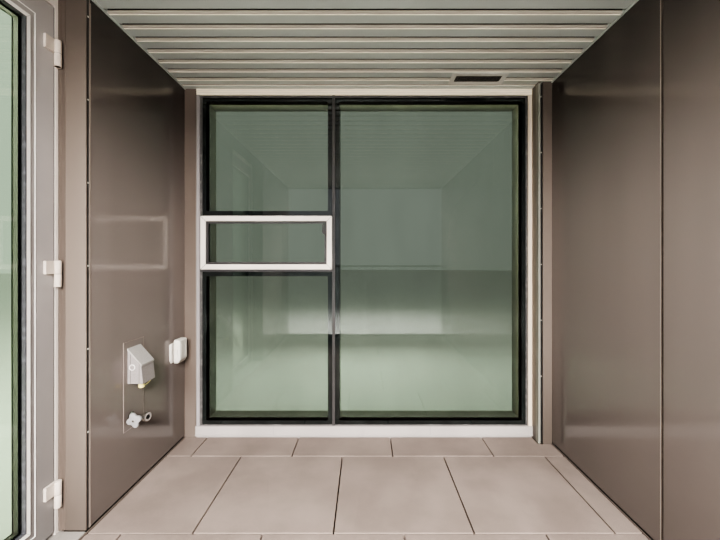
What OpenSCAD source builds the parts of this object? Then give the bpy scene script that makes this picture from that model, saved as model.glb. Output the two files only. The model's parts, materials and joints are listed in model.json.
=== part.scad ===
// Recessed balcony bay of an apartment building: two clad side walls, a ribbed soffit, stone paving,
// a window wall with an awning light, a glazed door in the left wall and a glass guard.
// X runs to the right, Y from the open front to the window wall, Z up. The origin is the centre of the footprint.

/* [Bay] */
// Clear width between the faces of the side cladding
bay_w = 2440; // [2300:10:3000]
// Clear height from the paving to the soffit
bay_h = 2360; // [2250:10:2700]
// Clear depth from the guard to the window plane
bay_d = 3200; // [2800:10:4200]

/* [Floor] */
// Thickness of the concrete floor slab
slab_t = 200; // [150:10:300]
// Thickness of the pavers
paver_t = 50; // [40:5:80]
// Side of one square paver
paver_size = 610; // [400:10:900]
// Open joint between pavers
paver_gap = 6; // [3:1:12]
// Distance from the window plane to the first cross joint
paver_first_joint = 237; // [150:1:500]
// X of one joint in the row beside the window
paver_joint_x = 170; // [0:5:300]
// Gap between the pavers and the sill or the jambs
paver_edge_gap = 5; // [3:1:10]
// Width of the light edge bar beside the pavers
edge_bar_w = 8; // [5:1:12]
// Height of the edge bar above the paving
edge_bar_rise = 4; // [2:1:6]

/* [Walls] */
// Thickness of a side wall with the cladding on both faces
wall_t = 250; // [220:5:350]
// Thickness of the cladding panels
panel_t = 8; // [5:1:12]
// Open joint between cladding panels
panel_gap = 12; // [8:1:18]
// Gap under the cladding above the paving
panel_floor_gap = 10; // [8:1:20]
// Gap between the top of the cladding and the soffit
panel_top_gap = 11; // [10:1:20]
// Distance from the window plane to the first upright joint
panel_first_joint = 944; // [900:1:1100]
// Distance between upright joints
panel_pitch = 1200; // [900:10:1500]

/* [Roof and soffit] */
// Thickness of the concrete roof slab
roof_t = 180; // [150:10:300]
// Thickness of the metal roof cap
cap_t = 12; // [8:1:20]
// Thickness of the cap's turned-down edge
cap_edge_t = 8; // [5:1:15]
// Lap of the cap's edge below the roof slab
cap_lap = 10; // [5:1:40]
// Distance between two soffit grooves
plank_module = 102; // [80:1:150]
// Width of a groove between two flat pans
groove_w = 25; // [15:1:35]
// Depth of a groove
groove_depth = 17; // [6:1:18]
// Thickness of the soffit planks
soffit_t = 30; // [24:1:45]
// Distance from the window plane to the first groove
first_groove = 130; // [100:1:160]
// Distance from the window plane to the end of the planks
soffit_setback = 40; // [30:1:60]
// Height of the carrier rails above the planks
carrier_h = 40; // [30:5:80]
// Width of a carrier rail
carrier_w = 40; // [30:5:60]
// Distance from the side cladding to the middle of the outer carrier rails
carrier_edge = 221; // [200:1:260]
// Distance between an outer and an inner carrier rail
carrier_pitch = 666; // [540:1:690]
// Width of the trims round the soffit
trim_w = 7; // [5:1:20]
// Height of the trims round the soffit
trim_h = 10; // [6:1:10]
// Gap between the ends of two trims
trim_gap = 1; // [1:1:3]

/* [Vent grille] */
// Distance from the right cladding to the middle of the grille
vent_from_wall = 498; // [440:1:570]
// Distance from the window plane to the middle of the grille
vent_back = 125; // [120:1:200]
// Length of the grille's opening
vent_w = 291; // [200:1:350]
// Width of the grille's opening
vent_d = 75; // [50:1:100]
// Width of the flange round the opening
vent_flange = 30; // [15:1:40]
// Thickness of the grille's sheet
vent_sheet = 4; // [3:1:6]
// Height of the grille's collar
vent_collar_h = 50; // [40:1:60]
// Number of slanted blades
vent_blades = 5; // [3:1:7]
// Slant of the blades
vent_slant = 35; // [20:1:50]
// Width of one blade
vent_blade_w = 16; // [10:1:20]

/* [Window wall] */
// Depth of the window frame
frame_depth = 150; // [120:5:200]
// Width of the brown strip left of the window
left_strip_w = 75; // [50:1:120]
// Width of the brown post right of the window
right_post_w = 89; // [70:1:140]
// Distance that the right post stands out from the window plane
right_post_out = 88; // [60:1:150]
// Width of the upright joint in the right post
post_joint_w = 15; // [10:1:20]
// Depth of the upright joint in the right post
post_joint_depth = 60; // [30:1:80]
// Width of the thin leg beside the window
post_leg_w = 14; // [8:1:20]
// Width of the frame's front face
frame_face = 26; // [20:1:40]
// Gap between the front face and the glass
glass_gap = 15; // [8:1:20]
// Width of the dark margin of the glass
glass_margin = 39; // [25:1:50]
// Thickness of the glass units
glass_t = 28; // [20:1:36]
// Distance from the window plane to the glass
glass_set = 12; // [8:1:20]
// Height of the frame's head above the glass gap
head_face = 46; // [30:1:80]
// Height of the underside of the sill face above the paving
sill_low = 18; // [14:1:30]
// Height of the sill face
sill_face = 56; // [40:1:80]
// Distance that the sill face stands out from the window plane
sill_out = 6; // [4:1:8]
// Gap between the sill and the glass
sill_glass_gap = 7; // [4:1:12]
// Distance from the left frame to the middle of the mullion
mullion_at = 932; // [800:1:1300]
// Width of the mullion's front strip
mullion_strip = 18; // [10:1:30]
// Width of the mullion's body behind the glass
mullion_body = 76; // [60:1:100]
// Distance from the window plane to the mullion's front strip
mullion_set = 4; // [2:1:8]
// Height of the lower transom's middle above the paving
transom_low = 1125; // [900:1:1200]
// Height of the upper transom's middle above the paving
transom_high = 1497; // [1400:1:1700]
// Height of the lower transom's front strip
low_strip = 15; // [10:1:25]
// Height of the upper transom's front strip
high_strip = 6; // [4:1:15]
// Height of a transom's body behind the glass
transom_body = 72; // [60:1:90]
// Clearance round the glass units
glass_clear = 1; // [1:1:3]

/* [Awning sash] */
// Width of the sash's front face
sash_face = 34; // [25:1:45]
// Width of the bead inside the sash
sash_bead = 15; // [10:1:20]
// Distance that the sash stands out from the window plane
sash_out = 8; // [4:1:15]
// Overlap of the sash beside the frame's front face
sash_side_gap = 9; // [4:1:12]
// Clearance between the sash and the mullion or transoms
sash_clear = 2; // [1:1:4]
// Thickness of the glass in the sash
sash_glass_t = 24; // [18:1:28]
// Distance from the back of the sash to its glass
sash_glass_gap = 6; // [3:1:8]

/* [Door] */
// Distance from the window plane to the far pilaster's face
pilaster_at = 850; // [800:1:1000]
// Depth of the door's recess behind the cladding face
door_recess = 120; // [100:1:130]
// Width of the door leaf
leaf_w = 900; // [800:5:1000]
// Thickness of the door leaf
leaf_t = 60; // [45:1:65]
// Distance from the soffit down to the leaf's top
leaf_drop = 77; // [70:1:300]
// Height of the leaf's underside above the paving
leaf_bottom = 20; // [18:1:40]
// Width of the leaf's stiles and top rail
stile_w = 132; // [100:1:150]
// Height of the leaf's bottom rail
bottom_rail_h = 95; // [80:1:200]
// Thickness of the door's glass
door_glass_t = 28; // [20:1:36]
// Distance from the leaf's face to its glass
door_glass_set = 12; // [8:1:14]
// Width of the raised bead round the glass
bead_w = 20; // [12:1:30]
// Distance that the bead stands out from the leaf
bead_out = 5; // [3:1:8]
// Gap between the leaf and the frame on the hinge side and behind
leaf_gap = 5; // [5:1:8]
// Gap between the leaf and the frame on the lock side
lock_gap = 9; // [9:1:14]
// Gap between the leaf and the frame's head
head_gap = 6; // [5:1:10]
// Width of a door frame member
door_frame_w = 45; // [40:1:60]
// Overlap of the frame's stop behind the leaf
stop_w = 20; // [15:1:30]
// Gap between the threshold and the leaf
threshold_gap = 8; // [6:1:12]
// Gap between the pilasters and the cladding beside them
pilaster_gap = 10; // [8:1:18]

/* [Hinges] */
// Radius of a hinge knuckle
knuckle_r = 13.5; // [10:0.5:14]
// Height of one half of a knuckle
knuckle_h = 56; // [45:1:80]
// Gap between the two halves of a knuckle
knuckle_gap = 0.5; // [0.3:0.1:0.9]
// Distance from the leaf's face to the hinge axis
axis_out = 15; // [15:0.5:18]
// Distance from the far pilaster's face to the hinge axis
axis_from_pilaster = 20; // [20:0.5:30]
// Radius of the hinge pin
pin_r = 6; // [4:0.5:7]
// Clearance round the hinge pin
pin_clear = 0.1; // [0.05:0.05:0.1]
// Length of the pin inside the upper knuckle
pin_in = 32; // [20:1:40]
// Width of the plate on the leaf
plate_w = 53; // [40:1:70]
// Thickness of the hinge plates
plate_t = 11; // [6:1:12]
// Distance from the leaf's underside to the lowest hinge
hinge_low = 164; // [120:1:300]
// Distance from the leaf's top down to the highest hinge
hinge_high = 200; // [120:1:300]
// Number of hinges
hinge_count = 3; // [2:1:4]

/* [Door handle] */
// Height of the handle above the paving
handle_z = 1010; // [900:1:1100]
// Distance from the leaf's free edge to the handle
handle_in = 56; // [45:1:70]
// Width of the handle's plate
handle_plate_w = 36; // [30:1:45]
// Height of the handle's plate
handle_plate_h = 230; // [200:1:260]
// Height of the plate's top above the lever
handle_plate_up = 87; // [60:1:100]
// Distance from the lever down to the key cylinder
key_drop = 92; // [70:1:110]
// Thickness of the handle's plate
handle_plate_t = 8; // [5:1:10]
// Distance from the leaf to the middle of the lever
lever_out = 44; // [36:1:48]
// Length of the lever
lever_len = 125; // [100:1:140]
// Radius of the lever
lever_r = 9; // [7:0.5:11]

/* [Guard] */
// Depth of the zone that holds the guard
guard_zone = 60; // [56:1:90]
// Height of the guard above the paving
guard_h = 1130; // [1000:5:1200]
// Thickness of the guard glass
guard_glass_t = 12; // [10:1:18]
// Gap between the two guard panes
guard_pane_gap = 10; // [6:1:20]
// Width of the guard's base shoe
shoe_w = 45; // [40:1:50]
// Height of the base shoe above the paving
shoe_rise = 30; // [20:1:60]
// Depth of the glass in the base shoe
shoe_slot = 60; // [40:1:70]
// Width of the guard's top rail
rail_w = 50; // [40:1:55]
// Height of the guard's top rail
rail_h = 30; // [25:1:50]
// Depth of the glass in the top rail
rail_slot = 18; // [10:1:20]
// Clearance beside the guard glass in its slots
slot_clear = 0.8; // [0.5:0.1:2]

/* [Wall fittings] */
// Distance from the window plane to the middle of the access plate
plate_back = 531; // [500:1:600]
// Width of the access plate
access_w = 161; // [140:1:200]
// Height of the access plate
access_h = 455; // [420:5:500]
// Height of the access plate's underside above the paving
access_low = 320; // [280:5:340]
// Thickness of the access plate
access_t = 3; // [2:0.5:5]
// Width of the gas box
box_w = 101; // [90:1:130]
// Depth of the gas box at its underside
box_out = 80; // [60:1:110]
// Distance that the gas box's front leans back at its top
box_lean = 10; // [0:1:20]
// Height of the gas box at the wall
box_back_h = 178; // [150:1:200]
// Height of the gas box at its front
box_front_h = 98; // [70:1:140]
// Height of the gas box's underside above the paving
box_low = 559; // [550:1:580]
// Thickness of the gas box's sheet metal
box_sheet = 3; // [2:0.5:5]
// Distance from the wall to the middle of the gas box's lock
lock_out = 25; // [20:1:40]
// Height of the lock above the gas box's underside
lock_up = 85; // [40:1:90]
// Radius of the lock
lock_r = 13; // [10:1:18]
// Radius of the gas outlet's cap
outlet_r = 12; // [8:1:16]
// Distance that the outlet's cap hangs below the gas box
outlet_drop = 22; // [10:1:30]
// Height of the hose tap above the paving
tap_z = 383; // [350:1:420]
// Distance from the window plane to the hose tap
tap_back = 559; // [520:1:580]
// Radius of the tap's body
tap_r = 12; // [9:0.5:15]
// Distance from the access plate to the end of the tap's outlet
tap_out = 94; // [88:1:105]
// Radius of the tap's outlet cup
cup_r = 22; // [18:0.5:27]
// Length of the tap's outlet cup
cup_l = 20; // [16:1:30]
// Turn of the outlet cup towards the open front
cup_turn = 12; // [0:1:30]
// Distance from the access plate to the middle of the wheel
wheel_out = 48; // [42:1:55]
// Distance from the tap's body to the far face of the wheel
wheel_near = 50; // [40:1:60]
// Radius of the tap's wheel
wheel_r = 37; // [30:1:40]
// Thickness of the tap's wheel
wheel_t = 11; // [8:1:14]
// Number of lobes of the tap's wheel
wheel_lobes = 4; // [3:1:6]
// Turn of the wheel on its spindle
wheel_turn = 18; // [0:1:90]
// Distance from the window plane to the middle of the socket cover
socket_back = 126; // [112:1:200]
// Width of the socket's back box
socket_w = 126; // [110:1:140]
// Height of the socket's back box
socket_h = 112; // [100:1:140]
// Distance that the socket's back box stands out from the wall
socket_back_t = 14; // [8:1:20]
// Width of the socket's domed cover
cover_w = 98; // [80:1:105]
// Height of the socket's domed cover
cover_h = 150; // [130:1:180]
// Distance that the domed cover stands out from the wall
socket_out = 49; // [40:1:70]
// Width of the slope round the domed cover's face
cover_slope = 16; // [8:1:22]
// Height of the socket's middle above the paving
socket_mid = 614; // [450:1:700]

/* [Hidden] */
$fn = 48;

wall_in = bay_w / 2;
core_in = wall_in + panel_t;
wall_out = wall_in + wall_t;
core_out = wall_out - panel_t;
total_d = guard_zone + bay_d + frame_depth;
front_y = -total_d / 2;
back_y = total_d / 2;
win_y = back_y - frame_depth;
guard_y = front_y + guard_zone;
floor_z = slab_t + paver_t;
soffit_z = floor_z + bay_h;
carrier_z = soffit_z + soffit_t;
vent_x = wall_in - vent_from_wall;
carriers = [wall_in - carrier_edge, wall_in - carrier_edge - carrier_pitch];
roof_z = carrier_z + carrier_h;
roof_top = roof_z + roof_t;
panel_z0 = floor_z + panel_floor_gap;
panel_z1 = soffit_z - panel_top_gap;
panel_joints = [for (d = panel_first_joint; d < bay_d; d = d + panel_pitch) win_y - d];

frame_x0 = left_strip_w - wall_in;
frame_x1 = wall_in - right_post_w;
leg_w = frame_face + glass_gap + glass_margin;
glass_back = glass_set + glass_t;
pane_x0 = frame_x0 + frame_face + glass_gap;
pane_x1 = frame_x1 - frame_face - glass_gap;
sill_top = floor_z + sill_low + sill_face;
sill_leg = sill_top + sill_glass_gap + glass_margin;
head_z = soffit_z - head_face;
head_leg = head_z - glass_gap - glass_margin;
pane_z0 = sill_top + sill_glass_gap;
pane_z1 = head_z - glass_gap;
mullion_x = frame_x0 + mullion_at;
low_z = floor_z + transom_low;
high_z = floor_z + transom_high;
sash_x0 = frame_x0 + frame_face + sash_side_gap;
sash_x1 = mullion_x - mullion_strip / 2 - sash_clear;
sash_z0 = low_z + low_strip / 2 + glass_clear;
sash_z1 = high_z - high_strip / 2;
sash_bead_set = 2;
sash_glass_set = glass_back - sash_glass_t - sash_glass_gap;

face_x = -wall_in - door_recess;
leaf_back_x = face_x - leaf_t;
stop_x = leaf_back_x - leaf_gap;
far_pilaster_y = win_y - pilaster_at;
axis_x = face_x + axis_out;
axis_y = far_pilaster_y - axis_from_pilaster;
leaf_y1 = axis_y - leaf_gap / 2;
leaf_y0 = leaf_y1 - leaf_w;
jamb_y1 = leaf_y1 + leaf_gap;
jamb_y0 = leaf_y0 - lock_gap;
strip_w = far_pilaster_y - jamb_y1;
near_pilaster_y = jamb_y0 - strip_w;
core_y1 = jamb_y1 + door_frame_w;
core_y0 = jamb_y0 - door_frame_w;
leaf_z0 = floor_z + leaf_bottom;
leaf_z1 = soffit_z - leaf_drop;
hinge_pitch = (leaf_z1 - leaf_z0 - hinge_low - hinge_high) / (hinge_count - 1);
door_head_z = leaf_z1 + head_gap;
door_top_z = door_head_z + door_frame_w;
opening_y0 = leaf_y0 + stile_w;
opening_y1 = leaf_y1 - stile_w;
opening_z0 = leaf_z0 + bottom_rail_h;
opening_z1 = leaf_z1 - stile_w;
door_glass_x = face_x - door_glass_set;

guard_mid = guard_y - guard_zone / 2;
guard_top = floor_z + guard_h;
guard_glass_z0 = floor_z + shoe_rise - shoe_slot;
guard_glass_z1 = guard_top - rail_h + rail_slot;

module block(x, y, z) {
    translate([x[0], y[0], z[0]])
        cube([x[1] - x[0], y[1] - y[0], z[1] - z[0]]);
}

// A profile drawn in Y and Z, run along X
module run_x(x) {
    translate([x[0], 0, 0])
        rotate([90, 0, 90])
            linear_extrude(x[1] - x[0])
                children();
}

// A profile drawn in X and Z, run along Y
module run_y(y) {
    translate([0, y[1], 0])
        rotate([90, 0, 0])
            linear_extrude(y[1] - y[0])
                children();
}

// A plan drawn in X and Y, raised along Z
module rise(z) {
    translate([0, 0, z[0]])
        linear_extrude(z[1] - z[0])
            children();
}

module ring(outer_x, outer_z, band, y) {
    difference() {
        block(outer_x, y, outer_z);
        block([outer_x[0] + band, outer_x[1] - band], [y[0] - 1, y[1] + 1],
              [outer_z[0] + band, outer_z[1] - band]);
    }
}

module floor_slab() {
    color("darkgray")
        block([-wall_out, wall_out], [front_y, back_y], [0, slab_t]);
}

module floor_pavers() {
    pitch = paver_size + paver_gap;
    edge_x = wall_in - edge_bar_w;
    last_y = win_y - paver_edge_gap;
    first_row_y = win_y - paver_first_joint + paver_gap / 2;
    rows = ceil((first_row_y - guard_y) / pitch);
    least = 2 * paver_gap;
    color("tan")
        difference() {
            for (row = [0 : rows]) {
                y1 = row == 0 ? last_y : first_row_y - (row - 1) * pitch - paver_gap;
                y0 = max(guard_y, first_row_y - row * pitch);
                shift = row % 2 == 0 ? 0 : pitch / 2;
                first = floor((-edge_x - paver_joint_x - shift) / pitch);
                last = ceil((edge_x - paver_joint_x - shift) / pitch);
                for (i = [first : last]) {
                    x0 = paver_joint_x + shift + i * pitch + paver_gap / 2;
                    left = max(-edge_x, x0);
                    right = min(edge_x, x0 + paver_size);
                    if (right - left > least && y1 - y0 > least)
                        block([left, right], [y0, y1], [slab_t, floor_z]);
                }
            }
            block([frame_x1 - paver_edge_gap, wall_in],
                  [win_y - right_post_out - paver_edge_gap, win_y], [slab_t - 1, floor_z + 1]);
        }
}

module wall_base_bars() {
    z = [slab_t, floor_z + edge_bar_rise];
    color("silver") {
        block([-wall_in, edge_bar_w - wall_in], [guard_y, win_y - paver_edge_gap], z);
        block([wall_in - edge_bar_w, wall_in],
              [guard_y, win_y - right_post_out - paver_edge_gap], z);
    }
}

module core(x, y, z) {
    color("dimgray")
        block(x, y, z);
}

module left_wall_rear() {
    core([-core_out, -core_in], [core_y1, back_y - panel_t], [slab_t, roof_z]);
}

module left_wall_front() {
    core([-core_out, -core_in], [front_y + panel_t, core_y0], [slab_t, roof_z]);
}

module left_wall_head() {
    core([-core_out, -core_in], [core_y0, core_y1], [door_top_z, roof_z]);
}

module right_wall() {
    core([core_in, core_out], [front_y + panel_t, back_y - panel_t], [slab_t, roof_z]);
}

// Flat panels with open joints, between two ends of a wall
module panel_row(x, y, z) {
    inside = [for (j = panel_joints) if (j > y[0] + panel_pitch / 4 && j < y[1] - panel_pitch / 4) j];
    tops = concat([y[1] + panel_gap / 2], inside);
    lows = concat(inside, [y[0] - panel_gap / 2]);
    for (i = [0 : len(tops) - 1])
        block(x, [lows[i] + panel_gap / 2, tops[i] - panel_gap / 2], z);
}

// An outer panel that folds round the end of the wall, drawn for the right wall
module corner_panel(y_end, y_joint, z) {
    back = y_joint < y_end ? -panel_t : panel_t;
    rise(z)
        polygon([[wall_out, y_joint], [wall_out, y_end], [core_in, y_end], [core_in, y_end + back],
                 [core_out, y_end + back], [core_out, y_joint]]);
}

module left_inner_cladding() {
    x = [-core_in, -wall_in];
    z = [panel_z0, panel_z1];
    color("saddlebrown") {
        panel_row(x, [far_pilaster_y + panel_t + pilaster_gap, win_y - glass_clear], z);
        panel_row(x, [front_y + panel_t + panel_gap, near_pilaster_y - panel_t - pilaster_gap], z);
        block(x, [near_pilaster_y, far_pilaster_y], [door_top_z, panel_z1]);
    }
}

module left_outer_cladding() {
    z = [slab_t + panel_floor_gap, roof_z - cap_lap];
    color("saddlebrown") {
        mirror([1, 0, 0]) {
            corner_panel(back_y, jamb_y1 + leaf_gap, z);
            corner_panel(front_y, jamb_y0 - leaf_gap, z);
        }
        block([-wall_out, -core_out], [jamb_y0 + panel_gap, jamb_y1 - panel_gap],
              [door_head_z + leaf_gap, z[1]]);
    }
}

module right_inner_cladding() {
    color("saddlebrown")
        panel_row([wall_in, core_in],
                  [front_y + panel_t + panel_gap, win_y - right_post_out - glass_clear],
                  [panel_z0, panel_z1]);
}

module right_outer_cladding() {
    z = [slab_t + panel_floor_gap, roof_z - cap_lap];
    last = panel_joints[len(panel_joints) - 1];
    color("saddlebrown") {
        corner_panel(back_y, panel_joints[0] + panel_gap / 2, z);
        corner_panel(front_y, last - panel_gap / 2, z);
        if (len(panel_joints) > 1)
            panel_row([core_out, wall_out], [last + panel_gap / 2, panel_joints[0] - panel_gap / 2], z);
    }
}

module roof_slab() {
    color("darkgray")
        block([-wall_out, wall_out], [front_y, back_y], [roof_z, roof_top]);
}

module roof_cap() {
    out = wall_out + cap_edge_t;
    color("saddlebrown")
        difference() {
            block([-out, out], [front_y - cap_edge_t, back_y + cap_edge_t],
                  [roof_z - cap_lap, roof_top + cap_t]);
            block([-wall_out, wall_out], [front_y, back_y], [roof_z - cap_lap - 1, roof_top]);
        }
}

// The section of the planks: flat pans with a groove between each two
module soffit_section(y0, y1) {
    count = floor((y1 - (win_y - first_groove) + bay_d) / plank_module);
    grooves = [for (i = [0 : count])
        let (mid = win_y - first_groove - i * plank_module)
        if (mid - groove_w > y0 && mid + groove_w < y1) mid];
    lip = groove_w / 6;
    difference() {
        translate([y0, soffit_z])
            square([y1 - y0, soffit_t]);
        for (mid = grooves)
            polygon([[mid - groove_w / 2, soffit_z - 1], [mid - groove_w / 2, soffit_z],
                     [mid - groove_w / 2 + lip, soffit_z + groove_depth],
                     [mid + groove_w / 2, soffit_z + groove_depth], [mid + groove_w / 2, soffit_z - 1]]);
    }
}

module soffit_panels() {
    vent_y = win_y - vent_back;
    hole = vent_sheet + 2 * glass_clear;
    color("gainsboro")
        difference() {
            run_x([-core_in, core_in])
                soffit_section(front_y + panel_t, win_y - soffit_setback);
            block([vent_x - vent_w / 2 - hole, vent_x + vent_w / 2 + hole],
                  [vent_y - vent_d / 2 - hole, vent_y + vent_d / 2 + hole],
                  [soffit_z - 1, carrier_z + 1]);
        }
}

module soffit_carriers() {
    color("silver")
        for (mid = concat(carriers, -carriers))
            block([mid - carrier_w / 2, mid + carrier_w / 2],
                  [front_y + panel_t, win_y - soffit_setback], [carrier_z, roof_z]);
}

module soffit_trims() {
    z = [soffit_z - trim_h, soffit_z];
    y0 = front_y + panel_t;
    color("lightgray") {
        block([-wall_in, trim_w - wall_in], [y0 + trim_gap, win_y], z);
        block([wall_in - trim_w, wall_in], [y0 + trim_gap, win_y - right_post_out], z);
        block([trim_w + trim_gap - wall_in, frame_x1], [win_y - soffit_setback, win_y],
              [soffit_z - trim_h / 2, soffit_z + trim_h / 2]);
        block([-core_in, core_in], [front_y, y0], [z[0], roof_z]);
    }
}

module vent_grille() {
    y = win_y - vent_back;
    flange_w = vent_w / 2 + vent_flange;
    flange_d = vent_d / 2 + vent_flange;
    pitch = vent_d / vent_blades;
    color("lightgray")
        difference() {
            union() {
                block([vent_x - flange_w, vent_x + flange_w], [y - flange_d, y + flange_d],
                      [soffit_z - vent_sheet, soffit_z]);
                block([vent_x - vent_w / 2 - vent_sheet, vent_x + vent_w / 2 + vent_sheet],
                      [y - vent_d / 2 - vent_sheet, y + vent_d / 2 + vent_sheet],
                      [soffit_z - vent_sheet, soffit_z + vent_collar_h]);
            }
            block([vent_x - vent_w / 2, vent_x + vent_w / 2], [y - vent_d / 2, y + vent_d / 2],
                  [soffit_z - vent_sheet - 1, soffit_z + vent_collar_h + 1]);
        }
    color("lightgray")
        for (i = [0 : vent_blades - 1])
            translate([vent_x - vent_w / 2, y - vent_d / 2 + (i + 0.5) * pitch, soffit_z + vent_blade_w / 2])
                rotate([vent_slant, 0, 0])
                    translate([-vent_sheet / 2, -vent_sheet / 4, -vent_blade_w / 2])
                        cube([vent_w + vent_sheet, vent_sheet / 2, vent_blade_w]);
}

module left_jamb_strip() {
    color("sienna")
        block([-core_in, frame_x0], [win_y, back_y], [slab_t, roof_z]);
}

module right_jamb_post() {
    y0 = win_y - right_post_out;
    joint_x = frame_x1 + post_leg_w;
    color("sienna") {
        rise([slab_t, soffit_z])
            polygon([[frame_x1, y0], [joint_x, y0], [joint_x, y0 + post_joint_depth],
                     [joint_x + post_joint_w, y0 + post_joint_depth], [joint_x + post_joint_w, y0],
                     [wall_in, y0], [wall_in, win_y], [core_in, win_y], [core_in, back_y],
                     [frame_x1, back_y]]);
        block([frame_x1, core_in], [win_y, back_y], [soffit_z - 1, roof_z]);
    }
}

// An L-shaped frame section: a narrow face in front and a wider body behind the glass
module jamb_section() {
    polygon([[0, 0], [frame_face, 0], [frame_face, glass_back], [leg_w, glass_back],
             [leg_w, frame_depth], [0, frame_depth]]);
}

module window_jambs() {
    color("linen")
        rise([sill_top, head_z]) {
            translate([frame_x0, win_y])
                jamb_section();
            translate([frame_x1, win_y])
                mirror([1, 0])
                    jamb_section();
        }
}

module window_head() {
    color("linen") {
        block([frame_x0, frame_x1], [win_y, back_y], [head_z, roof_z]);
        block([frame_x0 + leg_w, frame_x1 - leg_w], [win_y + glass_back, back_y], [head_leg, head_z]);
    }
}

module window_sill() {
    nose = floor_z + sill_low;
    color("linen") {
        run_x([frame_x0, frame_x1])
            polygon([[win_y + sill_low / 2, slab_t], [back_y, slab_t], [back_y, sill_top],
                     [win_y - sill_out, sill_top], [win_y - sill_out, nose],
                     [win_y - 2 * sill_out, nose], [win_y - 2 * sill_out, nose - sill_out],
                     [win_y + sill_low / 2, nose - sill_out]]);
        block([frame_x0 + leg_w, frame_x1 - leg_w], [win_y + glass_back, back_y],
              [sill_top, sill_leg]);
    }
}

module window_mullion() {
    color("dimgray") {
        block([mullion_x - mullion_strip / 2, mullion_x + mullion_strip / 2],
              [win_y + mullion_set, win_y + glass_back], [sill_top, head_z]);
        block([mullion_x - mullion_body / 2, mullion_x + mullion_body / 2],
              [win_y + glass_back, back_y], [sill_leg, head_leg]);
    }
}

// A transom has a thin strip between the lights and a body behind them
module transom(z, strip, set) {
    block([frame_x0 + frame_face, mullion_x - mullion_strip / 2],
          [win_y + set, win_y + glass_back], [z - strip / 2, z + strip / 2]);
    block([frame_x0 + leg_w, mullion_x - mullion_body / 2],
          [win_y + glass_back, back_y], [z - transom_body / 2, z + transom_body / 2]);
}

module window_transoms() {
    color("dimgray") {
        transom(low_z, low_strip, sill_out);
        transom(high_z, high_strip, glass_set);
    }
}

module window_panes() {
    y = [win_y + glass_set, win_y + glass_back];
    left = [pane_x0, mullion_x - mullion_strip / 2 - glass_clear];
    color("lightcyan", 0.4) {
        block(left, y, [pane_z0, low_z - low_strip / 2 - glass_clear]);
        block(left, y, [high_z + high_strip / 2 + glass_clear, pane_z1]);
        block([mullion_x + mullion_strip / 2 + glass_clear, pane_x1], y, [pane_z0, pane_z1]);
    }
}

module awning_sash() {
    x = [sash_x0, sash_x1];
    z = [sash_z0, sash_z1];
    color("linen") {
        ring(x, z, sash_face, [win_y - sash_out, win_y + glass_back]);
        ring([x[0] + sash_face - 1, x[1] - sash_face + 1], [z[0] + sash_face - 1, z[1] - sash_face + 1],
             sash_bead + 1, [win_y + sash_bead_set, win_y + sash_glass_set]);
    }
}

module awning_glass() {
    color("lightcyan", 0.4)
        block([sash_x0 + sash_face, sash_x1 - sash_face],
              [win_y + sash_glass_set, win_y + sash_glass_set + sash_glass_t],
              [sash_z0 + sash_face, sash_z1 - sash_face]);
}

// A pilaster is a face plate with a body behind it, drawn for the far side of the doorway
module pilaster_section(depth) {
    polygon([[face_x, 0], [-wall_in, 0], [-wall_in, panel_t], [-core_in, panel_t],
             [-core_in, depth], [face_x, depth]]);
}

module door_pilasters() {
    depth = core_y1 - far_pilaster_y;
    color("sienna")
        rise([panel_z0, door_top_z]) {
            translate([0, far_pilaster_y])
                pilaster_section(depth);
            translate([0, near_pilaster_y])
                mirror([0, 1])
                    pilaster_section(near_pilaster_y - core_y0);
        }
}

// A frame section with a stop behind the leaf; 0 is the edge beside the leaf
module door_frame_section() {
    polygon([[face_x, 0], [face_x, door_frame_w], [-core_out, door_frame_w], [-core_out, -stop_w],
             [stop_x, -stop_w], [stop_x, 0]]);
}

module door_frame_jambs() {
    color("gray")
        rise([slab_t, door_top_z]) {
            translate([0, jamb_y1])
                door_frame_section();
            translate([0, jamb_y0])
                mirror([0, 1])
                    door_frame_section();
        }
}

module door_frame_head() {
    back = [jamb_y0 + stop_w, jamb_y1 - stop_w];
    color("gray") {
        rise([door_head_z, door_top_z])
            polygon([[face_x, jamb_y0], [face_x, jamb_y1], [stop_x, jamb_y1], [stop_x, back[1]],
                     [-core_out, back[1]], [-core_out, back[0]], [stop_x, back[0]], [stop_x, jamb_y0]]);
        block([-core_out, stop_x], back, [door_head_z - stop_w, door_head_z]);
    }
}

module door_threshold() {
    sill_z = leaf_z0 - threshold_gap - paver_gap;
    back = [jamb_y0 + stop_w, jamb_y1 - stop_w];
    front_x = -wall_in - glass_clear;
    color("silver") {
        rise([slab_t, sill_z])
            polygon([[front_x, near_pilaster_y], [front_x, far_pilaster_y], [face_x, far_pilaster_y],
                     [face_x, jamb_y1], [stop_x, jamb_y1], [stop_x, back[1]], [-core_out, back[1]],
                     [-core_out, back[0]], [stop_x, back[0]], [stop_x, jamb_y0], [face_x, jamb_y0],
                     [face_x, near_pilaster_y]]);
        block([-core_out + stop_w, stop_x], back, [sill_z - 1, leaf_z0 + threshold_gap]);
    }
}

module door_stiles() {
    color("lightgray")
        for (y = [leaf_y0, leaf_y1 - stile_w])
            block([leaf_back_x, face_x], [y, y + stile_w], [leaf_z0, leaf_z1]);
}

module door_rails() {
    color("lightgray") {
        block([leaf_back_x, face_x], [opening_y0, opening_y1], [leaf_z0, opening_z0]);
        block([leaf_back_x, face_x], [opening_y0, opening_y1], [opening_z1, leaf_z1]);
    }
}

module bead_frame(x, out_y, out_z) {
    difference() {
        block(x, [opening_y0 - out_y, opening_y1 + out_y], [opening_z0 - out_z, opening_z1 + out_z]);
        block([x[0] - 1, x[1] + 1], [opening_y0, opening_y1], [opening_z0, opening_z1]);
    }
}

module door_beads() {
    color("whitesmoke") {
        bead_frame([face_x, face_x + bead_out], bead_w, bead_w);
        bead_frame([leaf_back_x - bead_out + 1, leaf_back_x], bead_w, bead_w);
    }
}

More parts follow.
